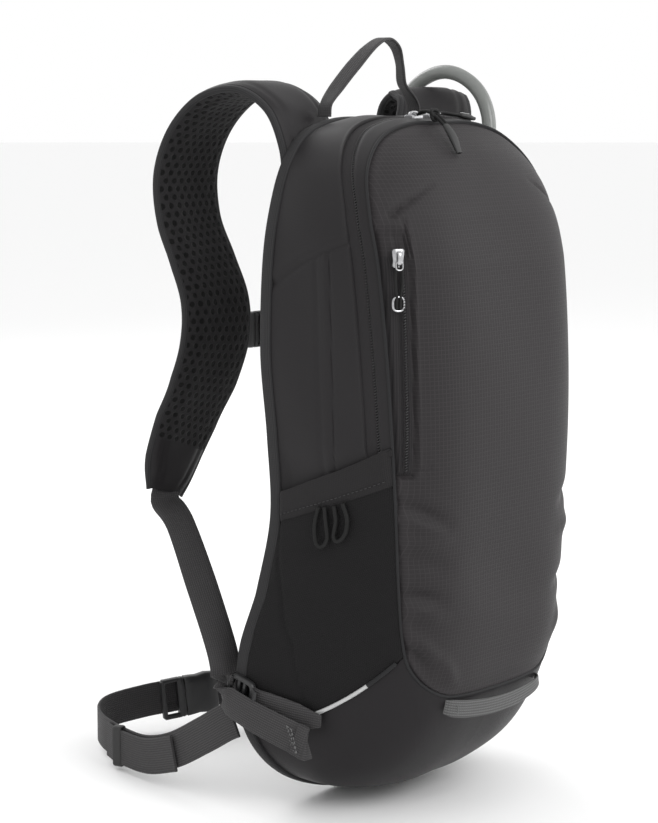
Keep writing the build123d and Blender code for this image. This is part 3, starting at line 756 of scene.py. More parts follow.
def make_side_shell():
    """Side and top wall in one band, the rear zip tape, and the bottom cup."""
    turn = np.concatenate([np.linspace(CUP_TURN, TOP, 330),
                           np.linspace(TOP, 2 * TOP - CUP_TURN, 330)[1:]])[None, :]
    turn = wrap(turn)
    end = zip_depth(turn, 8.6 * ease(np.abs(turn), 8.3, 8.9)) + 0.006
    depth = end * np.linspace(0, 1, 46)[:, None]
    behind_pocket = ease(np.abs(turn), 8.95, 8.35) * ease(np.abs(turn), 4.6, 5.6)
    off = seam_relief(turn, depth) - 2.6 * behind_pocket * ease(depth, 0.0, 0.12)
    off = off - 1.6 * bell(depth - end, 0.010) * ease(np.abs(turn), 8.3,
                                                      8.9) + 0.5 * bell(depth - end + 0.02, 0.012)
    shell = side(turn, depth, off)
    obj = piece("side_shell", [(shell, uv_of(shell, True), 0)], SMOOTH, "pack",
                ["side_wall_left", "side_wall_right", "top_wall"], MIDDLE, closed=False)
    lined(obj, 1.1)

    turn = np.concatenate([np.linspace(7.9, TOP, 240), np.linspace(TOP, 2 * TOP - 7.9, 240)[1:]])[None, :]
    turn = wrap(turn)
    start, stop = zip_depth(turn, 9.6), zip_depth(turn, 0.45)
    depth = start + (stop - start) * np.linspace(0, 1, 8)[:, None]
    tape = side(turn, depth, -0.9 - 0.5 * bell(depth - stop, 0.004) + 0 * turn)
    obj = piece("rear_zip_tape", [(tape, uv_of(tape, True), 0)], TAPE, "pack", ["main_zip_tape_rear"],
                MIDDLE, closed=False)
    lined(obj, 0.7)

    turn = np.linspace(-CUP_TURN, CUP_TURN, 220)[None, :]
    depth = np.linspace(0, 1, 60)[:, None]
    rim = bell(np.abs(turn) - CUP_TURN, 0.05)
    wave = 0.9 * np.sin(turn * 1.7) * np.sin(depth * 9) * np.sin(np.pi * depth)
    off = -0.5 * rim + wave - 0.8 * bell(1 - depth, 0.012)
    cup = side(turn, depth, off)
    obj = piece("bottom_cup_shell", [(cup, uv_of(cup, True), 0)], CUP, "pack", ["bottom_cup"],
                (0, -45, 60), closed=False)
    points = points_of(obj)
    mark_wear(obj, 0.4 * ease(points[:, 2], 22, 2))
    lined(obj, 1.3)


def zip_chain():
    """The main zip's two coils, one on each body, side by side under the slit."""
    turn = np.concatenate([np.linspace(8.3, TOP, 500), np.linspace(TOP, 2 * TOP - 8.3, 500)[1:]])
    turn = wrap(turn)
    for name, shift, body in (("zip_coil_rear", 0.75, "pack"), ("zip_coil_front", -0.75, "front_flap")):
        line = side(turn, zip_depth(turn, shift), -1.1 + 0 * turn)
        grid = coil(line, unit(front_loop(turn) - back_loop(turn)), 1.7, 1.2)
        piece(name, patches_of(capped(grid)), COIL, body, sharp=0)


# ---------------------------------------------------------------- pockets, back and trims
HEM_LOW = [(0.0, 7.85), (0.08, 7.92), (0.40, 8.07), (0.65, 8.21), (1.0, 8.42)]
HEM_HIGH = [(0.0, 8.24), (0.06, 8.30), (0.41, 8.50), (0.66, 8.66), (1.0, 8.92)]
REAR_SEAM = [(4.3, 0.41), (5.8, 0.34), (6.73, 0.18), (7.35, 0.09), (8.0, 0.03)]


def make_pockets():
    """Stretch side pockets: knit from the cup's seam to the hem, and a wide hem turned in at its top."""
    depth = np.linspace(0.012, 0.994, 64)[None, :]
    low, high = graded(HEM_LOW, depth), graded(HEM_HIGH, depth)
    knit = np.linspace(0, 1, 70)[:-1, None]
    band = np.linspace(0, 1, 16)[:, None]
    turn_in = np.array([0.2, 0.6, 1.0])[:, None]
    turn = np.concatenate([CUP_TURN + (low - CUP_TURN) * knit, low + (high - low) * band,
                           high - 0.11 * turn_in])
    edge = np.minimum(ease(depth, 0, 0.08), ease(depth, 1, 0.93))
    rise = np.concatenate([0.3 + 1.3 * ease(knit, 0, 0.2), 1.9 + 0.9 * np.sin(np.pi * band * 0.8),
                           1.2 - 1.6 * turn_in])
    off = rise * edge + 0.2
    off = off - 0.9 * bell((turn - low) * 42, 1.0) * (turn > CUP_TURN + 1)
    seam = np.interp(turn, *np.array(REAR_SEAM).T)
    off = off - 0.9 * bell((depth - seam) * 95, 1.2)
    off = off + 0.5 * np.sin(turn * 7 + depth * 6) * edge * ease(turn, 4.5, 5.5) * ease(turn, 8.0, 7.4)
    depth = depth + 0 * turn
    in_hem = np.arange(turn.shape[0] - 1) >= len(knit)
    cell = (turn[:-1, :-1] * 0).astype(int) + in_hem[:, None]
    for mark, name in ((-1, "left"), (1, "right")):
        grid = side(turn * mark, depth, off)
        uv = uv_of(grid, True)
        obj = piece(f"pocket_{name}", [(grid, uv, cell)], [KNIT, HEM], None, [f"side_pocket_{name}"],
                    MIDDLE, closed=False)
        lined(obj, 1.0)
        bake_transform(obj)
        line = side(mark * graded(HEM_LOW, depth[0]) + mark * 0.09, depth[0], 2.6 * edge[0] + 0.3)
        piece(f"hem_stitches_{name}", [(stitches(line[3:-3], (0, 0, 1)), None, 0)], DARK_THREAD, "pack",
              sharp=0)


def back_face(turn, reach, off=0.0):
    """The back panel: from its middle line to the back loop, at the height of the back's curve."""
    edge = back_loop(turn)
    middle = np.clip(edge[..., 2], 100, 350)
    z = middle + (edge[..., 2] - middle) * reach
    y = graded(BACK_CURVE, z) + off
    return np.stack([edge[..., 0] * reach, y, z], -1)


def make_back():
    """Back panel, its four air mesh pads, and the binding round its edge."""
    turn = np.linspace(-TOP, TOP, 361)[None, :]
    reach = np.linspace(0, 1, 40)[:, None]
    flat = back_face(turn, reach + 0 * turn)
    channel = 1.2 * bell(flat[..., 0], 6) * (1 - reach ** 4)
    panel = flat + np.stack([0 * channel, -channel, 0 * channel], -1)
    obj = piece("back_panel", [(panel, panel[..., [0, 2]], 0)], BACK, "pack", ["back_board", "frame_sheet"],
                MIDDLE, closed=False)
    lined(obj, 2.5)
    for part, low, high in (("upper", 228.0, 374.0), ("lumbar", 40.0, 205.0)):
        angle = np.linspace(0, 2 * np.pi, 145)[None, :]
        ring = np.linspace(0, 1, 26)[:, None]
        c, s = np.cos(angle), np.sin(angle)
        x = -47 + 36.5 * np.sign(c) * np.abs(c) ** 0.42 * ring
        z = (low + high) / 2 + (high - low - 1) / 2 * np.sign(s) * np.abs(s) ** 0.42 * ring
        height = 5.6 * (1 - ring ** 7) ** 0.6 + 0 * angle
        for share in (0.2, 0.4, 0.6, 0.8):
            height = height - 1.5 * bell(z - (low + (high - low) * share), 2.2) * (1 - ring ** 6)
        top = np.stack([x, graded(BACK_CURVE, z) + 0.25 + height, z], -1)
        foot = np.stack([x, graded(BACK_CURVE, z) + 0.2, z], -1)[::-1]
        rim = (np.arange(25)[:, None] >= 22) & (np.arange(144)[None, :] >= 0)
        for mark, name in ((1, "left"), (-1, "right")):
            shift = np.array([mark, 1, 1])
            obj = piece(f"pad_{part}_{name}", [(top * shift, top[..., [0, 2]], rim.astype(int)),
                                               (foot * shift, None, 1)],
                        [AIR_MESH, BACK], "pack", [f"back_pad_{part}_{name}"])
    turn = np.linspace(-TOP, TOP, 640)
    line = back_loop(turn)
    line[-1] = line[0]
    out = unit(np.stack([line[:, 0], 0 * turn, line[:, 2] - 230], -1))
    q = oval(4.2, 8.4, 2.6, 14) + np.array([0.1, 0.6])
    tape = carried(q, line, out)
    tape[-1] = tape[0]
    run = lengths(line)
    uv = np.stack([np.broadcast_to(q[:, 1], tape.shape[:2]), np.broadcast_to(run[:, None], tape.shape[:2])],
                  -1)
    piece("edge_binding_tape", [(tape, uv, 0)], BINDING, "pack", ["edge_binding"])


def make_trims():
    """Silver piping over the cup's seam, cord loops on the pockets, and the light loop."""
    for mark, name in ((-1, "left"), (1, "right")):
        depth = np.linspace(0.43, 0.995, 60)
        line = side(mark * CUP_TURN + 0 * depth, depth, 1.4 + 0 * depth)
        line = even(line[::6], 1.5)[0]
        shade = ease(np.linspace(0, 1, len(line)), 0.62, 0.66)
        grid = capped(carried(oval(2.6, 2.2, 2.2, 10), line, (0, 0.3, 1)))
        cell = np.repeat((shade[1:] > 0.5).astype(int)[:, None], 10, 1)
        cell = np.concatenate([cell[:1], cell, cell[-1:]])
        piece(f"cup_piping_{name}", [(grid, None, cell)], [SILVER, BINDING], "pack",
              sharp=0)
        loops = []
        for places in ([(8.12, 0.42), (7.86, 0.395), (7.60, 0.42), (7.52, 0.47), (7.64, 0.51), (7.88, 0.49),
                        (8.12, 0.47)],
                       [(8.14, 0.55), (7.92, 0.57), (7.68, 0.56), (7.60, 0.60), (7.72, 0.65), (7.95, 0.66),
                        (8.18, 0.62)]):
            turn, depth = np.array(places).T
            hang = side(mark * turn, depth, 3.6 + 1.2 * np.sin(np.pi * np.linspace(0, 1, len(turn))))
            path = even(hang, 1.2)[0]
            loops.append((tube_round(path, 1.35, 10), None, 0))
        piece(f"pocket_cord_{name}", loops, CORD, "pack", [f"cord_loop_{name}"], sharp=0)
    route = [(-49, -99.5, 73), (-46, -103.6, 72), (-36, -106.8, 70.2), (-18, -108.8, 68.4), (0, -109.3, 67.8),
             (18, -108.8, 68.4), (36, -106.8, 70.2), (46, -103.6, 72), (49, -99.5, 73)]
    grid, uv = ribbon(route, [9, 11, 11, 10.5, 10, 9, 7.5, 6, 4.5], 1.4, (0, 0.12, 1), 2.5, bow=-0.3)
    piece("light_loop_tape", [(grid, uv, 0)], LOOP_TAPE, "pack", ["light_loop"])
    rows = []
    for x in (-43.5, -41.5, 38.5, 40.5):
        end = [(x, -105.6, 67.5), (x, -105.8, 74.5)]
        rows.append((stitches(np.linspace(*np.array(end), 20), (1, 0, 0), step=1.6, long=1.3), None, 0))
    piece("light_loop_stitches", rows, THREAD, "pack", sharp=0)


# ---------------------------------------------------------------- harness
PAD_LOW = [(-61, 91, 342), (-60, 81, 316), (-61, 80, 290), (-65, 87, 262), (-71, 97, 236), (-79, 103, 210),
           (-85, 104, 190)]
PAD_LEFT = [(-53, 5.6, 392), (-54, 7, 416), (-56, 17, 439), (-58, 40, 451), (-60, 68, 446), (-62, 91, 426),
            (-63, 103, 398), (-63, 101, 368)] + PAD_LOW
PAD_RIGHT = [(60, 8.6, 392), (70, 11, 416), (82, 13, 436), (90, 24, 447), (92, 38, 440), (91, 46, 422),
             (88, 55, 402), (82, 68, 380), (72, 82, 360)] + [(-x, y, z) for x, y, z in PAD_LOW]
LOW_WIDTHS = [60, 62, 64, 64, 60, 50, 34]
LEFT_WIDTHS = [50, 52, 54, 56, 58, 58, 58, 58] + LOW_WIDTHS
RIGHT_WIDTHS = [50, 54, 58, 60, 60, 60, 60, 60, 60] + LOW_WIDTHS


def strap_pad(name, route, widths, across):
    """Foam shoulder pad: a domed section carried along the strap, air mesh inside and fabric outside.
    Half its thickness is 4 (1 - |2 q0 / width|^4.5) + 1.4, less a groove beside each binding."""
    path, share = even(route, 3.0)
    width = np.interp(share, np.linspace(0, 1, len(widths)), widths)
    across = np.stack([np.interp(share, np.linspace(0, 1, len(across)), np.array(across, float)[:, k])
                       for k in range(3)], -1)
    run = lengths(path)
    reach = np.concatenate([np.linspace(1, -1, 27), np.linspace(-1, 1, 27)[1:]])
    face = np.r_[np.ones(27), -np.ones(26)]
    thick = (4.0 * (1 - np.abs(reach) ** 4.5) + 1.4) * face
    end = np.minimum(ease(run, 0, 10), ease(run[-1] - run, 0, 14))
    thick = thick[None] * (0.45 + 0.55 * end[:, None])
    thick = thick * (1 + 0.035 * np.sin(run[:, None] * 0.21 + 3 * reach) * (1 - reach ** 2))
    inside = (face > 0)[None] & (run[-1] - run > 36)[:, None] & (run > 24)[:, None]
    groove = 0.9 * bell(np.abs(reach) * width[:, None] / 2 - (width[:, None] / 2 - 9), 1.6)
    q = np.stack([reach[None] * (width[:, None] / 2 - 1.2), thick - groove * face * end[:, None]], -1)
    grid = capped(carried(q, path, across))
    uv = np.stack([q[..., 0], np.broadcast_to(run[:, None], q.shape[:2])], -1)
    uv = np.concatenate([uv[:1], uv, uv[-1:]])
    rows = np.r_[0, np.arange(len(path) - 1), len(path) - 2]
    cell = np.where(inside[rows][:, :-1] & (face[1:] > 0)[None], 0, 1)
    obj = piece(f"shoulder_pad_{name}_foam", [(grid, uv, cell)], [AIR_MESH, SMOOTH], "pack",
                [f"shoulder_pad_{name}"])
    _, side_way, up = frames(path, across)
    rims = []
    for edge in (-1, 1):
        line = path + side_way * (edge * (width[:, None] / 2 - 3.2))
        rim = carried(oval(7.4, 4.6 * (0.6 + 0.4 * end), 2.6, 14), line, side_way)
        long = np.broadcast_to(run[:, None], rim.shape[:2])
        rims.append((capped(rim), np.pad(np.stack([np.broadcast_to(np.linspace(0, 15, 15), long.shape),
                                                   long], -1),
                                         ((1, 1), (0, 0), (0, 0)), "edge"), 0))
    piece(f"shoulder_pad_{name}_binding", rims, BINDING, "pack")
    seams = []
    for edge in (-1, 1):
        for lift in (-1, 1):
            line = path + side_way * (edge * (width[:, None] / 2 - 5.6)) + up * lift * 2.35
            seams.append((stitches(line[3:-3], side_way[3:-3], 0, 3.4, 2.3, 0.28), None, 0))
    piece(f"shoulder_pad_{name}_stitches", seams, THREAD, "pack", sharp=0)


def web(name, route, widths, across, body, replaces=(), thick=1.8, bow=0.0, finish_of=None, step=4.0):
    """Webbing along a route, as one ribbon with rounded selvedges."""
    grid, uv = ribbon(route, widths, thick, across, step, bow)
    return piece(name, [(grid, uv, 0)], finish_of or WEBBING, body, replaces)


def box_stitches(name, middle, along, across, long, wide, lift, body, thread):
    """A box of stitches with a cross in it, laid on webbing."""
    along, across = unit(np.array(along, float)), unit(np.array(across, float))
    up = np.cross(along, across)
    corner = [np.array(middle) + up * lift + along * a * long / 2 + across * b * wide / 2
              for a, b in ((-1, -1), (1, -1), (1, 1), (-1, 1))]
    lines = [(corner[i], corner[(i + 1) % 4]) for i in range(4)] + [(corner[0], corner[2]),
                                                                    (corner[1], corner[3])]
    seams = [(stitches(np.linspace(a, b, 12), np.cross(b - a, up), 0, 2.8, 2.0, 0.28), None, 0) for a,
             b in lines]
    return piece(name, seams, thread, body, sharp=0)


def make_harness():
    """Shoulder pads, their webbing through ladder locks to the anchor wings, and the free tails."""
    strap_pad("left", PAD_LEFT, LEFT_WIDTHS, [(1, 0, 0), (1, 0, 0)])
    turned = [(math.cos(math.radians(a)), -math.sin(math.radians(a)), 0) for a in (0, 8, 16, 16, 8, 0)]
    strap_pad("right", PAD_RIGHT, RIGHT_WIDTHS, turned + [(1, 0, 0)] * 10)
    run = [(-84.5, 104, 203), (-85.2, 103.6, 193), (-88, 99.5, 184), (-97, 78, 172), (-101, 58, 140),
           (-104, 38, 102), (-108, 27, 80), (-110.5, 22, 76)]
    lean = [(1, 0, 0), (1, 0, 0.1), (1, 0, 0.3), (0.95, -0.15, 0.1), (0.85, -0.3, 0.1), (0.5, 0.1, 0.5),
            (0.1, 0.4, 0.8), (0, 0.3, 1)]
    tail = [(-110.5, 26, 77), (-114, 25, 71), (-115, 4, 64), (-112, -18, 57), (-107.5, -36, 51)]
    wing = [(-99.5, -42, 64), (-103.5, -26, 65), (-108, -8, 67), (-110.5, 2.4, 68.6), (-111.5, 8, 71)]
    for mark, name in ((-1, "left"), (1, "right")):
        turn = (lambda points: points) if mark < 0 else (lambda points: [(-x, y, z) for x, y, z in points])
        web(f"shoulder_web_{name}", turn(run), 22, turn(lean), "pack", [f"shoulder_webbing_{name}"])
        web(f"shoulder_tail_{name}", turn(tail), [14, 20, 20, 20, 20], (0, 0.3, 1), "pack", bow=0.8)
        end = turn([(-109.6, -29.5, 53)])[0]
        fold = turn([(-108.8, -30, 53), (-107.0, -36.6, 51), (-109.4, -37.6, 50.8), (-111.0, -30, 53.4)])
        web(f"tail_fold_{name}", fold, 20, (0, 0.3, 1), "pack", step=1.5)
        box_stitches(f"tail_stitches_{name}", (end[0] + mark * 2.6, end[1], end[2]), (mark * 0.3, -1, -0.3),
                     (0, 0.3, 1), 6, 15, -0.2 * mark, "pack", THREAD)
        web(f"anchor_web_{name}", turn(wing), [8, 18, 22, 22, 22], (0, 0, 1), "pack",
            [f"anchor_wing_{name}"], 2.0)
        ladder_lock(name, mark)
        middle = turn([(-79.5, 109.5, 196)])[0]
        box_stitches(f"pad_stitches_{name}", middle, (mark * 0.28, 0.1, -1), (1, 0, 0), 16, 17, 0.0, "pack",
                     THREAD)


def ladder_lock(name, mark):
    """Ladder lock: a rounded frame with two cross bars for the webbing, and a lifting lip."""
    turn = np.array([[1, 0, 0], [0, math.cos(math.radians(15)), -math.sin(math.radians(15))],
                     [0, math.sin(math.radians(15)), math.cos(math.radians(15))]])
    place = lambda grid: (grid @ turn.T + (-110.5, 15, 72)) * np.array([-mark, 1, 1])
    a = np.linspace(0, 2 * np.pi, 49)
    ring = np.stack([0 * a, 9.3 * signed_power(np.cos(a), 0.4), 12.2 * signed_power(np.sin(a), 0.4)], -1)
    frame_bar = carried(oval(4.2, 3.4, 3.0, 12), ring, (1, 0, 0))
    parts = [(place(frame_bar), None, 0)]
    for at in (-2.2, 2.4):
        bar = np.stack([np.zeros(9), np.full(9, at), np.linspace(-12, 12, 9)], -1)
        parts.append((place(capped(carried(oval(3.2, 2.8, 2.4, 10), bar, (1, 0, 0)))), None, 0))
    lip = np.stack([np.array([-1.2, -2.2, -3.4, -4.4]), np.array([-9, -11, -13, -14.6]), np.zeros(4)], -1)
    parts.append((place(capped(carried(oval(22, 2.0, 4.0, 20), lip, (0, 0, 1)))), None, 0))
    piece(f"ladder_lock_{name}_frame", parts, PLASTIC, "pack", [f"ladder_lock_{name}"])


def buckle_shapes(width, thick, length):
    """A side release buckle along X: a waisted socket with two ridges, and a plug with a web bar and two
    prongs."""
    mouth = 0.58 * length
    shell = loft([(0, width * 0.80, thick * 0.55, 0, 0), (1.5, width * 0.92, thick * 0.85, 0, 0),
                  (mouth * 0.35, width * 0.99, thick, 0, 0), (mouth * 0.62, width * 0.93, thick, 0, 0),
                  (mouth * 0.8, width * 0.96, thick, 0, 0), (mouth - 0.5, width * 0.98, thick * 0.96, 0, 0),
                  (mouth, width * 0.96, thick * 0.9, 0, 0)], 40, 4.5)
    ridge = [loft([(mouth * 0.25, 1.2, 0.9, 0, 0), (mouth * 0.3, 1.8, 1.2, 0, 0),
                   (mouth * 0.72, 1.8, 1.2, 0, 0),
                   (mouth * 0.78, 1.2, 0.9, 0, 0)], 12, 3.0) + (0, y, thick / 2) for y in (-width * 0.22,
                                                                                           width * 0.22)]
    head = loft([(mouth + 0.6, width * 0.95, thick * 0.8, 0, 0),
                 (mouth + 2.2, width * 0.98, thick * 0.88, 0, 0),
                 (mouth + 4.0, width * 0.96, thick * 0.76, 0, 0),
                 (mouth + 5.5, width * 0.95, thick * 0.6, 0, 0)], 40, 4.5)
    bars = [(np.stack([np.linspace(mouth + 4, length - 1.5, 6), np.full(6, s * (width / 2 - 1.8)),
                       np.zeros(6)], -1),
             (0, 1, 0), 3.2) for s in (-1, 1)]
    bars.append((np.stack([np.full(6, length - 1.8), np.linspace(-width / 2 + 1.6, width / 2 - 1.6, 6),
                           np.zeros(6)], -1),
                 (1, 0, 0), 3.4))
    plug = [head] + [capped(carried(oval(w, thick * 0.6, 3.0, 14), line, way)) for line, way, w in bars]
    for s in (-1, 1):
        line = np.stack([np.linspace(8.6, mouth + 1, 6), np.full(6, s * (width / 2 - 5.2)), np.zeros(6)], -1)
        plug.append(capped(carried(oval(3.8, thick - 4.8, 3.0, 12), line, (0, 1, 0))))
    return [shell] + ridge, plug


def make_buckle(strap, body, size, origin, along, up):
    """A strap's buckle of a width, thickness and length: the socket rides on body, the plug on its own."""
    socket, plug = buckle_shapes(*size)
    for part, shapes, rider in (("socket", socket, body), ("plug", plug, f"{strap}_plug")):
        grids = [placed(grid, origin, along, up) for grid in shapes]
        piece(f"{strap}_{part}_shell", patches_of(*grids), PLASTIC, rider, [f"{strap}_buckle_{part}"])


def make_sternum():
    """Chest strap: sliders on the rails, two short runs of webbing, and the buckle."""
    for mark, name in ((-1, "left"), (1, "right")):
        body = f"sternum_{name}"
        block = loft([(-7, 12, 7, 0, 0), (-6, 14.4, 8.2, 0, 0), (6, 14.4, 8.2, 0, 0), (7, 12, 7, 0, 0)], 28,
                     4.0)
        clip = np.stack([block[..., 0] * 6 / 7, block[..., 2], block[..., 1]], -1) + (mark * 44, 98.2, 290)
        tab = np.stack([block[..., 0] * 1.4 / 7, block[..., 2] * 4.2 / 8.2, block[..., 1] * 20 / 14.4], -1)
        tab = tab + (mark * 37.4, 102, 290)
        neck = np.stack([block[..., 0] * 3 / 7, block[..., 2] * 3.6 / 8.2, block[..., 1] * 12 / 14.4], -1)
        neck = neck + (mark * 39.5, 101, 290)
        piece(f"sternum_clip_{name}", [(clip, None, 0), (tab, None, 0), (neck, None, 0)], PLASTIC, body,
              [f"sternum_slider_{name}"])
    web("sternum_web_left", [(-36.4, 102, 290), (-30, 102.3, 290), (-21.5, 102, 290)], 20, (0, 0, 1),
        "sternum_left",
        ["sternum_webbing_left"])
    route = [(36.6, 102.6, 290), (31, 105.9, 290), (25, 107.4, 290), (2, 107.6, 290)]
    web("sternum_web_right", route, 20, (0, 0, 1), "sternum_right", ["sternum_webbing_right"], bow=-0.3)
    box_stitches("sternum_stitches", (29.5, 107.6, 290), (1, -0.2, 0), (0, 0, 1), 7, 15, -0.2,
                 "sternum_right", THREAD)
    make_buckle("sternum", "sternum_left", (25, 8, 34), (-22, 102, 290), (1, 0, 0), (0, 1, 0))


WAIST_AT = np.array([24.0, 160.0, 25.0])
WAIST_DIR = np.array([-0.8818, 0.4609, -0.1002])
WAIST_OFF = np.array([-0.4638, -0.8860, 0.0])


def spot(along, off=0.0):
    """A point on the waist buckle's line, and off it away from the wearer."""
    return tuple(WAIST_AT + WAIST_DIR * along + WAIST_OFF * off)


def make_waist():
    """Waist belt: webbing from each lock to the buckle, a keeper on the doubled left end, and the buckle."""
    near = [(-109, 22, 56), (-109, 30, 52), (-108, 50, 40), (-104, 80, 24), (-98, 110, 15), (-91, 140, 14),
            (-80, 170, 15), (-64, 190, 16), (-44, 198.5, 17), spot(52, -7.6), spot(34, -6.8), spot(26, -6.6)]
    web("waist_web_left", near, 24, (0, 0, 1), "pack", ["waist_webbing_left"], 2.0)
    far = [(109, 22, 56), (109, 30, 52), (106, 56, 44), (96, 86, 36), (78, 116, 31), (54, 141, 28),
           spot(-12), spot(1)]
    web("waist_web_right", far, 24, (0, 0, 1), "pack", ["waist_webbing_right"], 2.0)
    doubled = [(-105.4, 77, 22.8), (-99.8, 108, 14.2), (-93, 140, 13.2), (-86.5, 157, 13.8)]
    outer = [(x - 2.2, y - 0.6, z) for x, y, z in doubled]
    web("waist_tail", outer, 24, (0, 0, 1), "pack", thick=1.8)
    a = np.linspace(0, 2 * np.pi, 41)
    loop = np.stack([3.4 * signed_power(np.cos(a), 0.5), 0 * a, 13.4 * signed_power(np.sin(a), 0.3)], -1)
    along = unit(np.array([0.23, -1, 0]))
    outward = np.cross(along, (0, 0, 1))
    ring = np.array([-94.2, 140, 13.4]) + loop[:, :1] * outward + loop[:, 2:] * np.array([0, 0, 1.0])
    keeper = carried(flat_band(6.5, 1.4), ring, along)
    piece("waist_keeper", patches_of(keeper), RUBBER, "pack")
    make_buckle("waist", "pack", (30, 9, 42), WAIST_AT, WAIST_DIR, -WAIST_OFF)


def make_haul_loop():
    """Grab loop: narrow webbing that twists a little where it turns down on the right."""
    route = [(-46, 0, 434), (-44, 0, 442), (-34, 0, 452), (-17, 0, 466), (0, 0, 478), (14, 0, 483),
             (25, 0, 478),
             (30, 0, 467), (32, 0, 455), (39, 0, 448), (44, 0, 441), (45, 0, 434)]
    across = [(0, 1, 0), (0.12, 1, 0), (-0.18, 1, 0.1), (-0.22, 1, 0.15), (-0.1, 1, 0), (0.1, 1, 0),
              (0.25, 1, 0),
              (0.45, 1, 0.1), (0.3, 1, 0.2), (0, 1, 0.2), (0, 1, 0), (0, 1, 0)]
    web("grab_loop", route, 11, across, "haul_loop", ["haul_loop"], 1.8, step=2.0)


# ---------------------------------------------------------------- zip sliders and pulls
def slider_shapes():
    """Zip slider along X, up Z: a waisted body, a bridge over it, and the flanges at its two ends."""
    body = loft([(-5.5, 5.6, 3.2, 0, 2.0), (-4.6, 7.4, 3.9, 0, 2.0), (-1.5, 6.6, 3.9, 0, 2.0),
                 (2.4, 7.6, 3.9, 0, 2.0),
                 (4.6, 7.8, 3.8, 0, 2.0), (5.5, 6.2, 3.0, 0, 2.0)], 28, 3.4)
    arc = np.linspace(0, np.pi, 13)
    bridge = np.stack([-3.9 * np.cos(arc), 0 * arc, 3.6 + 2.1 * np.sin(arc) ** 0.7], -1)
    return [body, capped(carried(oval(2.6, 1.1, 3.0, 12), bridge, (0, 1, 0)))]


def ring_of(centre, along, across, long, wide, wire):
    """A closed ring of wire: a rounded oblong in the plane of along and across."""
    a = np.linspace(0, 2 * np.pi, 37)
    along, across = unit(np.array(along, float)), unit(np.array(across, float))
    line = (np.array(centre, float) + np.multiply.outer(signed_power(np.cos(a), 0.7)
                                                        * long / 2, along)
            + np.multiply.outer(signed_power(np.sin(a), 0.7) * wide / 2, across))
    return carried(oval(wire, wire, 2.0, 8), line, np.cross(along, across))


def cord_pull(route, across, gap, thick, grip_from, grip):
    """A doubled cord from a ring to a moulded grip: two strands side by side, and an oval grip over their
    ends."""
    path, _ = even(route, 1.4)
    side_way = frames(path, across)[1]
    run = lengths(path)
    spread = gap * (0.55 + 0.45 * np.sin(np.pi * np.clip(run / run[-1] * 1.4, 0, 1)))[:, None]
    strands = [tube_round(path + side_way * s * spread, thick, 9) for s in (-0.5, 0.5)]
    start = int(np.searchsorted(run, run[-1] * grip_from))
    tip = path[start:]
    share = np.linspace(0, 1, len(tip))
    swell = 0.72 + 0.28 * np.sin(np.pi * np.clip(share * 1.1, 0, 1)) + 0.05 * np.sin(share * 2 * np.pi * 6)
    handle = capped(carried(oval(grip[0] * swell, grip[1] * swell, 2.6, 16), tip, across))
    return strands, handle


def make_pulls():
    """Main and pocket sliders, each with a wire ring and cord, and a grip on each main pull."""
    for mark, name in ((-1, "left"), (1, "right")):
        shapes = [g * np.array([mark, 1, 1]) + (mark * 9, -42, 431.4) for g in slider_shapes()]
        piece(f"slider_{name}", patches_of(*shapes), METAL, f"main_slider_{name}", [f"main_slider_{name}"])
    hang = [(-9, -45.6, 435.6), (-9.1, -50, 437.4), (-9.3, -57, 436.4), (-10, -66, 430.6), (-11, -74, 422),
            (-11.6, -79.5, 412)]
    strands, handle = cord_pull(hang, (1, 0, 0), 3.4, 1.05, 0.52, (6.6, 3.6))
    ring = ring_of((-9, -44.4, 436.0), (0, -1, 0.2), (1, 0, 0), 5.4, 4.6, 1.1)
    body = "main_pull_left"
    piece("pull_left_ring", patches_of(ring), METAL, body)
    piece("pull_left_cord", patches_of(*strands), CORD, body, ["main_pull_left"])
    knot = [ring_of((-9.4, -59, 435.2 + k), (1, 0, 0), (0, 0.5, 1), 6.6, 4.8, 2.2) for k in (-1.2, 1.0)]
    piece("pull_left_knot", patches_of(*knot), CORD, body)
    piece("pull_left_grip", patches_of(handle), RUBBER, body)
    lie = [(15, -42, 435.6), (20, -42.3, 436.2), (28, -42.6, 435.4), (38, -42.8, 434.4), (46, -42.6, 433.4),
           (53, -42.2, 432.2)]
    strands, handle = cord_pull(lie, (0, 1, 0), 3.0, 1.0, 0.56, (6.2, 3.4))
    ring = ring_of((13.8, -42, 435.8), (1, 0, 0), (0, 1, 0), 5.4, 4.6, 1.1)
    body = "main_pull_right"
    piece("pull_right_ring", patches_of(ring), METAL, body)
    piece("pull_right_cord", patches_of(*strands), CORD, body, ["main_pull_right"])
    piece("pull_right_grip", patches_of(handle), RUBBER, body)
    # A thin capsule of the silver tape material laid on the cord: a painted glint standing for light
    # reflected off the cord.
    glint_line = np.stack([np.linspace(39, 47, 7), np.full(7, -43.0), np.linspace(436.1, 435.2, 7)], -1)
    piece("pull_right_fleck", [(capped(carried(oval(1.6, 0.5, 2.6, 10), glint_line, (0, 1, 0))), None, 0)],
          SILVER, body)

    foot = np.array([-85.9, -89.6, 352.0])
    out = unit(np.array([-0.53, -0.85, 0]))
    stand = lambda grid: placed(grid, foot, (0, 0, 1), out)
    piece("side_slider", patches_of(*map(stand, slider_shapes())), METAL, "pocket_slider", ["pocket_slider"])
    flat_way = np.cross(out, (0, 0, 1))
    down = [foot + out * lift - (0, 0, drop) for lift,
            drop in ((4.6, 3), (4.2, 10), (4.0, 18), (3.8, 25), (3.4, 30))]
    strands, handle = cord_pull(down, flat_way, 4.4, 0.9, 0.80, (5.6, 2.6))
    ring = ring_of(foot + out * 5.0 - (0, 0, 4.4), (0, 0, -1), flat_way, 5.0, 4.2, 0.9)
    end = ring_of(foot + out * 3.6 - (0, 0, 27), (0, 0, -1), flat_way, 8.4, 7.0, 1.3)
    piece("side_pull_ring", [(ring, None, 0), (end, None, 0)], METAL, "pocket_pull")
    piece("side_pull_cord", patches_of(*strands), CORD, "pocket_pull", ["pocket_pull"])


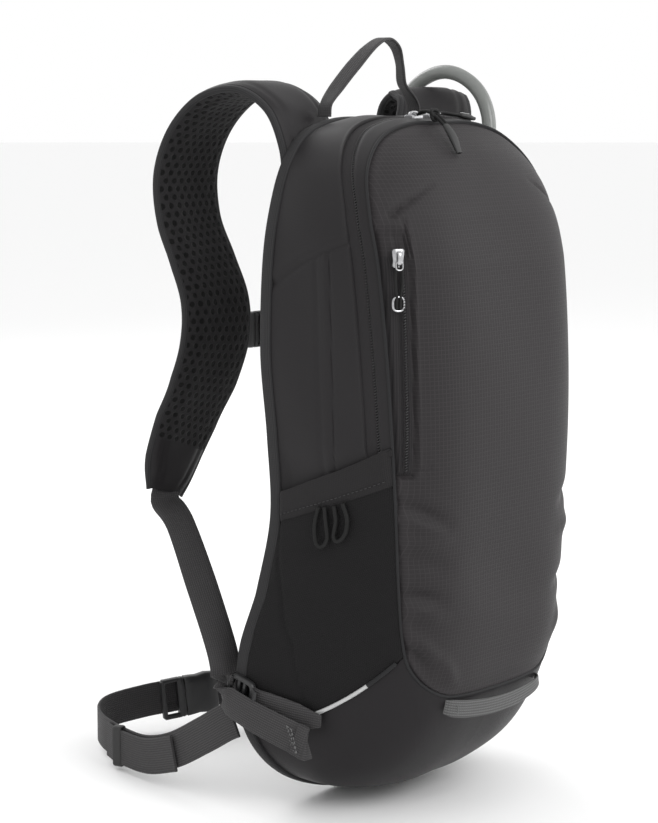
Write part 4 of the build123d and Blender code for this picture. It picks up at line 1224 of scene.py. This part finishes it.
# ---------------------------------------------------------------- reservoir, hose and bite valve
HOSE_ROUTE = [(60, -25, 66), (64, -25, 108), (67.5, -24.5, 154), (70, -24, 204), (71, -23, 254),
              (71.5, -22, 300),
              (74.5, -20.5, 342), (80, -20, 376), (89.6, -25.3, 405), (96, -25.5, 430), (98.5, -13, 453),
              (99, 13, 465), (98.5, 38, 457), (98, 54, 438), (97, 62, 418), (94, 71, 400), (88, 85, 381),
              (81, 98, 357), (76, 105.5, 329), (74, 108, 301)]


def make_hose():
    """Drinking hose as a smooth curve with the route's points as its controls, its port, keepers and bite
    valve.
    The pieces along it follow the points that the curve itself gives."""
    curve = bpy.data.curves.new("drinking_hose_tube", "CURVE")
    curve.dimensions = "3D"
    line = curve.splines.new("NURBS")
    line.points.add(len(HOSE_ROUTE) - 1)
    controls = np.c_[np.array(HOSE_ROUTE) * MM, np.ones(len(HOSE_ROUTE))]
    line.points.foreach_set("co", controls.astype(np.float32).ravel())
    line.order_u = 3
    line.use_endpoint_u = True
    line.resolution_u = 16
    hose = bpy.data.objects.new("drinking_hose_tube", curve)
    bpy.context.scene.collection.objects.link(hose)
    bpy.context.view_layer.update()
    bare = bpy.data.meshes.new_from_object(hose)
    fine = np.array([v.co for v in bare.vertices]) / MM
    bpy.data.meshes.remove(bare)
    fine, _ = even(fine, 1.0)
    run = lengths(fine)
    curve.bevel_depth = 0.00475
    curve.bevel_resolution = 6
    curve.use_fill_caps = True
    curve.materials.append(HOSE)
    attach(hose, "pack")
    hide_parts("drinking_hose")
    port_at = np.array([87, -23.9, 399.0])
    axis = unit(np.array([9, -5, 27.0]))
    stations = [(-7, 11.5, 11.5, 0, 0), (-1, 12.5, 12.5, 0, 0), (0, 17, 17, 0, 0), (1.6, 17.6, 17.6, 0, 0),
                (3, 14.6, 14.6, 0, 0), (6.5, 12.6, 12.6, 0, 0), (7.5, 11.2, 11.2, 0, 0)]
    port = placed(loft(stations, 28, 2.0), port_at, axis, (0, 1, 0))
    port_obj = piece("hose_port_grommet", patches_of(port), RUBBER, "pack", ["hose_port"])
    rings = []
    for spot_share in (0.80, 0.90):
        near = int(np.searchsorted(run, run[-1] * spot_share))
        part = fine[near - 6:near + 7]
        rings.append((capped(carried(oval(13.2, 12.2, 2.2, 20), part, (1, 0, 0))), None, 0))
    keep = piece("hose_keeper_bands", rings, RUBBER, "pack", ["hose_keepers"])
    end = fine[-1]
    way = unit(np.array([-0.071, 0.0887, -0.9935]))
    stations = [(-3, 10.6, 10.6, 0, 0), (0, 11.4, 11.4, 0, 0), (2, 12.8, 12.8, 0, 0), (9, 13, 13, 0, 0),
                (10, 11.4, 11.4, 0, 0), (12, 11.4, 11.4, 0, 0), (13, 13, 13, 0, 0), (21, 12.6, 12.6, 0, 0),
                (22, 11, 11, 0, 0)]
    valve = placed(loft(stations, 28, 2.0), end, way, (0, 1, 0))
    body_obj = piece("valve_body_shell", patches_of(valve), PLASTIC, "pack", ["bite_valve_body"])
    stations = [(22.2, 11.4, 11.4, 0, 0), (23.4, 14.4, 14.4, 0, 0), (29, 15, 14.6, 0, 0),
                (36, 14.4, 10.4, 0, 0),
                (41, 13.4, 7, 0, 0), (42, 11, 4.4, 0, 0)]
    tip = placed(loft(stations, 28, 2.3), end, way, (0, 1, 0))
    tip_obj = piece("valve_tip_shell", patches_of(tip), SILICONE, "bite_valve", ["bite_valve_tip"])


def make_reservoir():
    """Bladder of clear film with rounded, lightly ribbed sides, and its sleeve with a bound top.
    The bladder is oblong rings |x|, |z| from powers of cosine and sine, drawn in towards its two faces."""
    a = np.linspace(0, 2 * np.pi, 73)
    half_wide, half_high = 59.0, 155.0
    swell = np.linspace(-1, 1, 17)
    shape = np.sqrt(np.clip(1 - np.abs(swell) ** 2.6, 0, 1)) ** 0.55
    shape = np.where(np.abs(swell) > 0.999, 0.86, 0.86 + 0.14 * shape)
    rim_x = half_wide * signed_power(np.cos(a), 0.28)
    rim_z = half_high * signed_power(np.sin(a), 0.16)
    x = -13 + rim_x[None] * shape[:, None]
    z = 201 + rim_z[None] * (1 - (1 - shape[:, None]) * 0.4)
    y = np.broadcast_to(-24.5 + 11.2 * swell[:, None], x.shape)
    ribs = 0.5 * np.sin(z * 0.16)[..., None] * np.array([0, 1, 0]) * (1 - np.abs(swell)[:, None, None])
    rings = np.stack([x, y, z], -1) + ribs
    shares = np.linspace(1, 0, 9)[1:, None, None]
    front, rear = [rings[k][None] * shares + rings[k].mean(0) * (1 - shares) for k in (0, -1)]
    bladder = np.concatenate([front[::-1], rings, rear])
    piece("bladder_film", patches_of(bladder), FILM, "pack", ["reservoir_bladder"])
    wide, high = np.meshgrid(np.linspace(-76, 76, 45), np.linspace(40, 372, 90))
    ripple = 0.35 * np.sin(wide * 0.09 + high * 0.02) * np.sin(np.pi * (high - 40) / 332)
    cloth = np.stack([wide, -40.9 - 0 * wide + ripple, high], -1)
    obj = piece("sleeve_cloth", [(cloth, cloth[..., [0, 2]], 0)], SMOOTH, "pack", ["reservoir_sleeve"],
                (0, 60, 200), closed=False)
    lined(obj, 0.6)
    hem = [(-75.6, -41.2, 371.4), (0, -41.2, 371.4), (75.6, -41.2, 371.4)]
    binding = web("sleeve_binding", hem, 8, (0, 0, 1), "pack", thick=2.0, finish_of=BINDING)


def make_front_pocket():
    """The front pocket's zip coil beside the left seam, and its lining behind the front."""
    high = np.linspace(225, 351, 300)
    turn = -np.interp(high, np.array(FRONT_LOOP)[:, 2], np.arange(len(FRONT_LOOP)))
    seam = front_loop(turn)
    line = face(turn, 84.4 / np.abs(seam[:, 0])) + (0, -0.3, 0)
    grid = coil(line, (1, 0.5, 0), 2.2, 1.3)
    piece("pocket_zip_coil", patches_of(capped(grid)), COIL, "front_flap", ["pocket_zip_tape"],
          sharp=0)
    wide, high = np.meshgrid(np.linspace(-77, 77, 60), np.linspace(226, 378, 60))
    edge = np.interp(high, np.array(FRONT_LOOP)[:, 2], np.array(FRONT_LOOP)[:, 1])
    crown = graded(FRONT_CURVE, high)
    slack = 0.9 * np.sin(wide * 0.07 + high * 0.03) * np.sin(high * 0.05)
    rear = edge + (crown - edge) * (1 - np.abs(wide / 90) ** 5.5) + 8.9 + slack
    cloth = np.stack([wide, rear, high], -1)
    obj = piece("pocket_lining_cloth", [(cloth, cloth[..., [0, 2]], 0)], SMOOTH, "front_flap",
                ["front_pocket_lining"],
                (0, 60, 300), closed=False)
    lined(obj, 0.5)


KEPT = [("sternum_rails", PLASTIC), ("hose_connector", PLASTIC), ("release_button", BUTTON),
        ("reservoir_hanger", PLASTIC), ("reservoir_slide_closure", PLASTIC)]


def finish_kept():
    """Materials for the moulded pieces that are shown as they were modelled."""
    for name, material in KEPT:
        node = bpy.data.objects[name]
        node.data.materials.clear()
        node.data.materials.append(material)


# ---------------------------------------------------------------- studio
def make_studio():
    """Pale floor, three large soft lights and the camera."""
    floor = bpy.data.meshes.new("floor")
    floor.from_pydata([(-30, -30, -0.003), (30, -30, -0.003), (30, 30, -0.003), (-30, 30, -0.003)], [],
                      [(0, 1, 2, 3)])
    pale = bpy.data.materials.new("pale floor")
    pale.use_nodes = True
    shader = next(n for n in pale.node_tree.nodes if n.type == "BSDF_PRINCIPLED")
    shader.inputs["Base Color"].default_value = (0.93, 0.93, 0.93, 1)
    shader.inputs["Roughness"].default_value = 0.7
    floor.materials.append(pale)
    ground = bpy.data.objects.new("floor", floor)
    bpy.context.scene.collection.objects.link(ground)
    world = bpy.data.worlds.new("studio")
    bpy.context.scene.world = world
    world.use_nodes = True
    sky = next(n for n in world.node_tree.nodes if n.type == "BACKGROUND")
    sky.inputs["Color"].default_value = (1, 1, 1, 1)
    sky.inputs["Strength"].default_value = 1.0
    bpy.context.scene.view_settings.view_transform = "Standard"
    aim = Vector((0, -0.03, 0.24))
    for name, place, size, power in (("key", (-0.2, -1.9, 1.6), 1.2, 22), ("fill", (1.6, -1.1, 1.0), 1.6, 9),
                                     ("back", (0.4, 1.7, 1.5), 1.4, 14)):
        data = bpy.data.lights.new(name, "AREA")
        data.size, data.energy = size, power
        lamp = bpy.data.objects.new(name, data)
        bpy.context.scene.collection.objects.link(lamp)
        lamp.location = place
        lamp.rotation_euler = (aim - Vector(place)).to_track_quat("-Z", "Y").to_euler()
    data = bpy.data.cameras.new("camera")
    data.lens, data.sensor_width = 100, 36
    data.clip_start, data.clip_end = 0.05, 20
    camera = bpy.data.objects.new("camera", data)
    bpy.context.scene.collection.objects.link(camera)
    turned, raised, away = math.radians(-50), math.radians(8), 1.49
    target = Vector((-0.017, 0.0205, 0.243))
    back = Vector((math.sin(turned) * math.cos(raised), -math.cos(turned) * math.cos(raised),
                   math.sin(raised)))
    camera.location = target + back * away
    camera.rotation_euler = back.to_track_quat("Z", "Y").to_euler()
    bpy.context.scene.camera = camera


make_front()
make_side_shell()
zip_chain()
make_pockets()
make_back()
make_trims()
make_harness()
make_sternum()
make_waist()
make_haul_loop()
make_pulls()
make_hose()
make_reservoir()
make_front_pocket()
finish_kept()
make_studio()
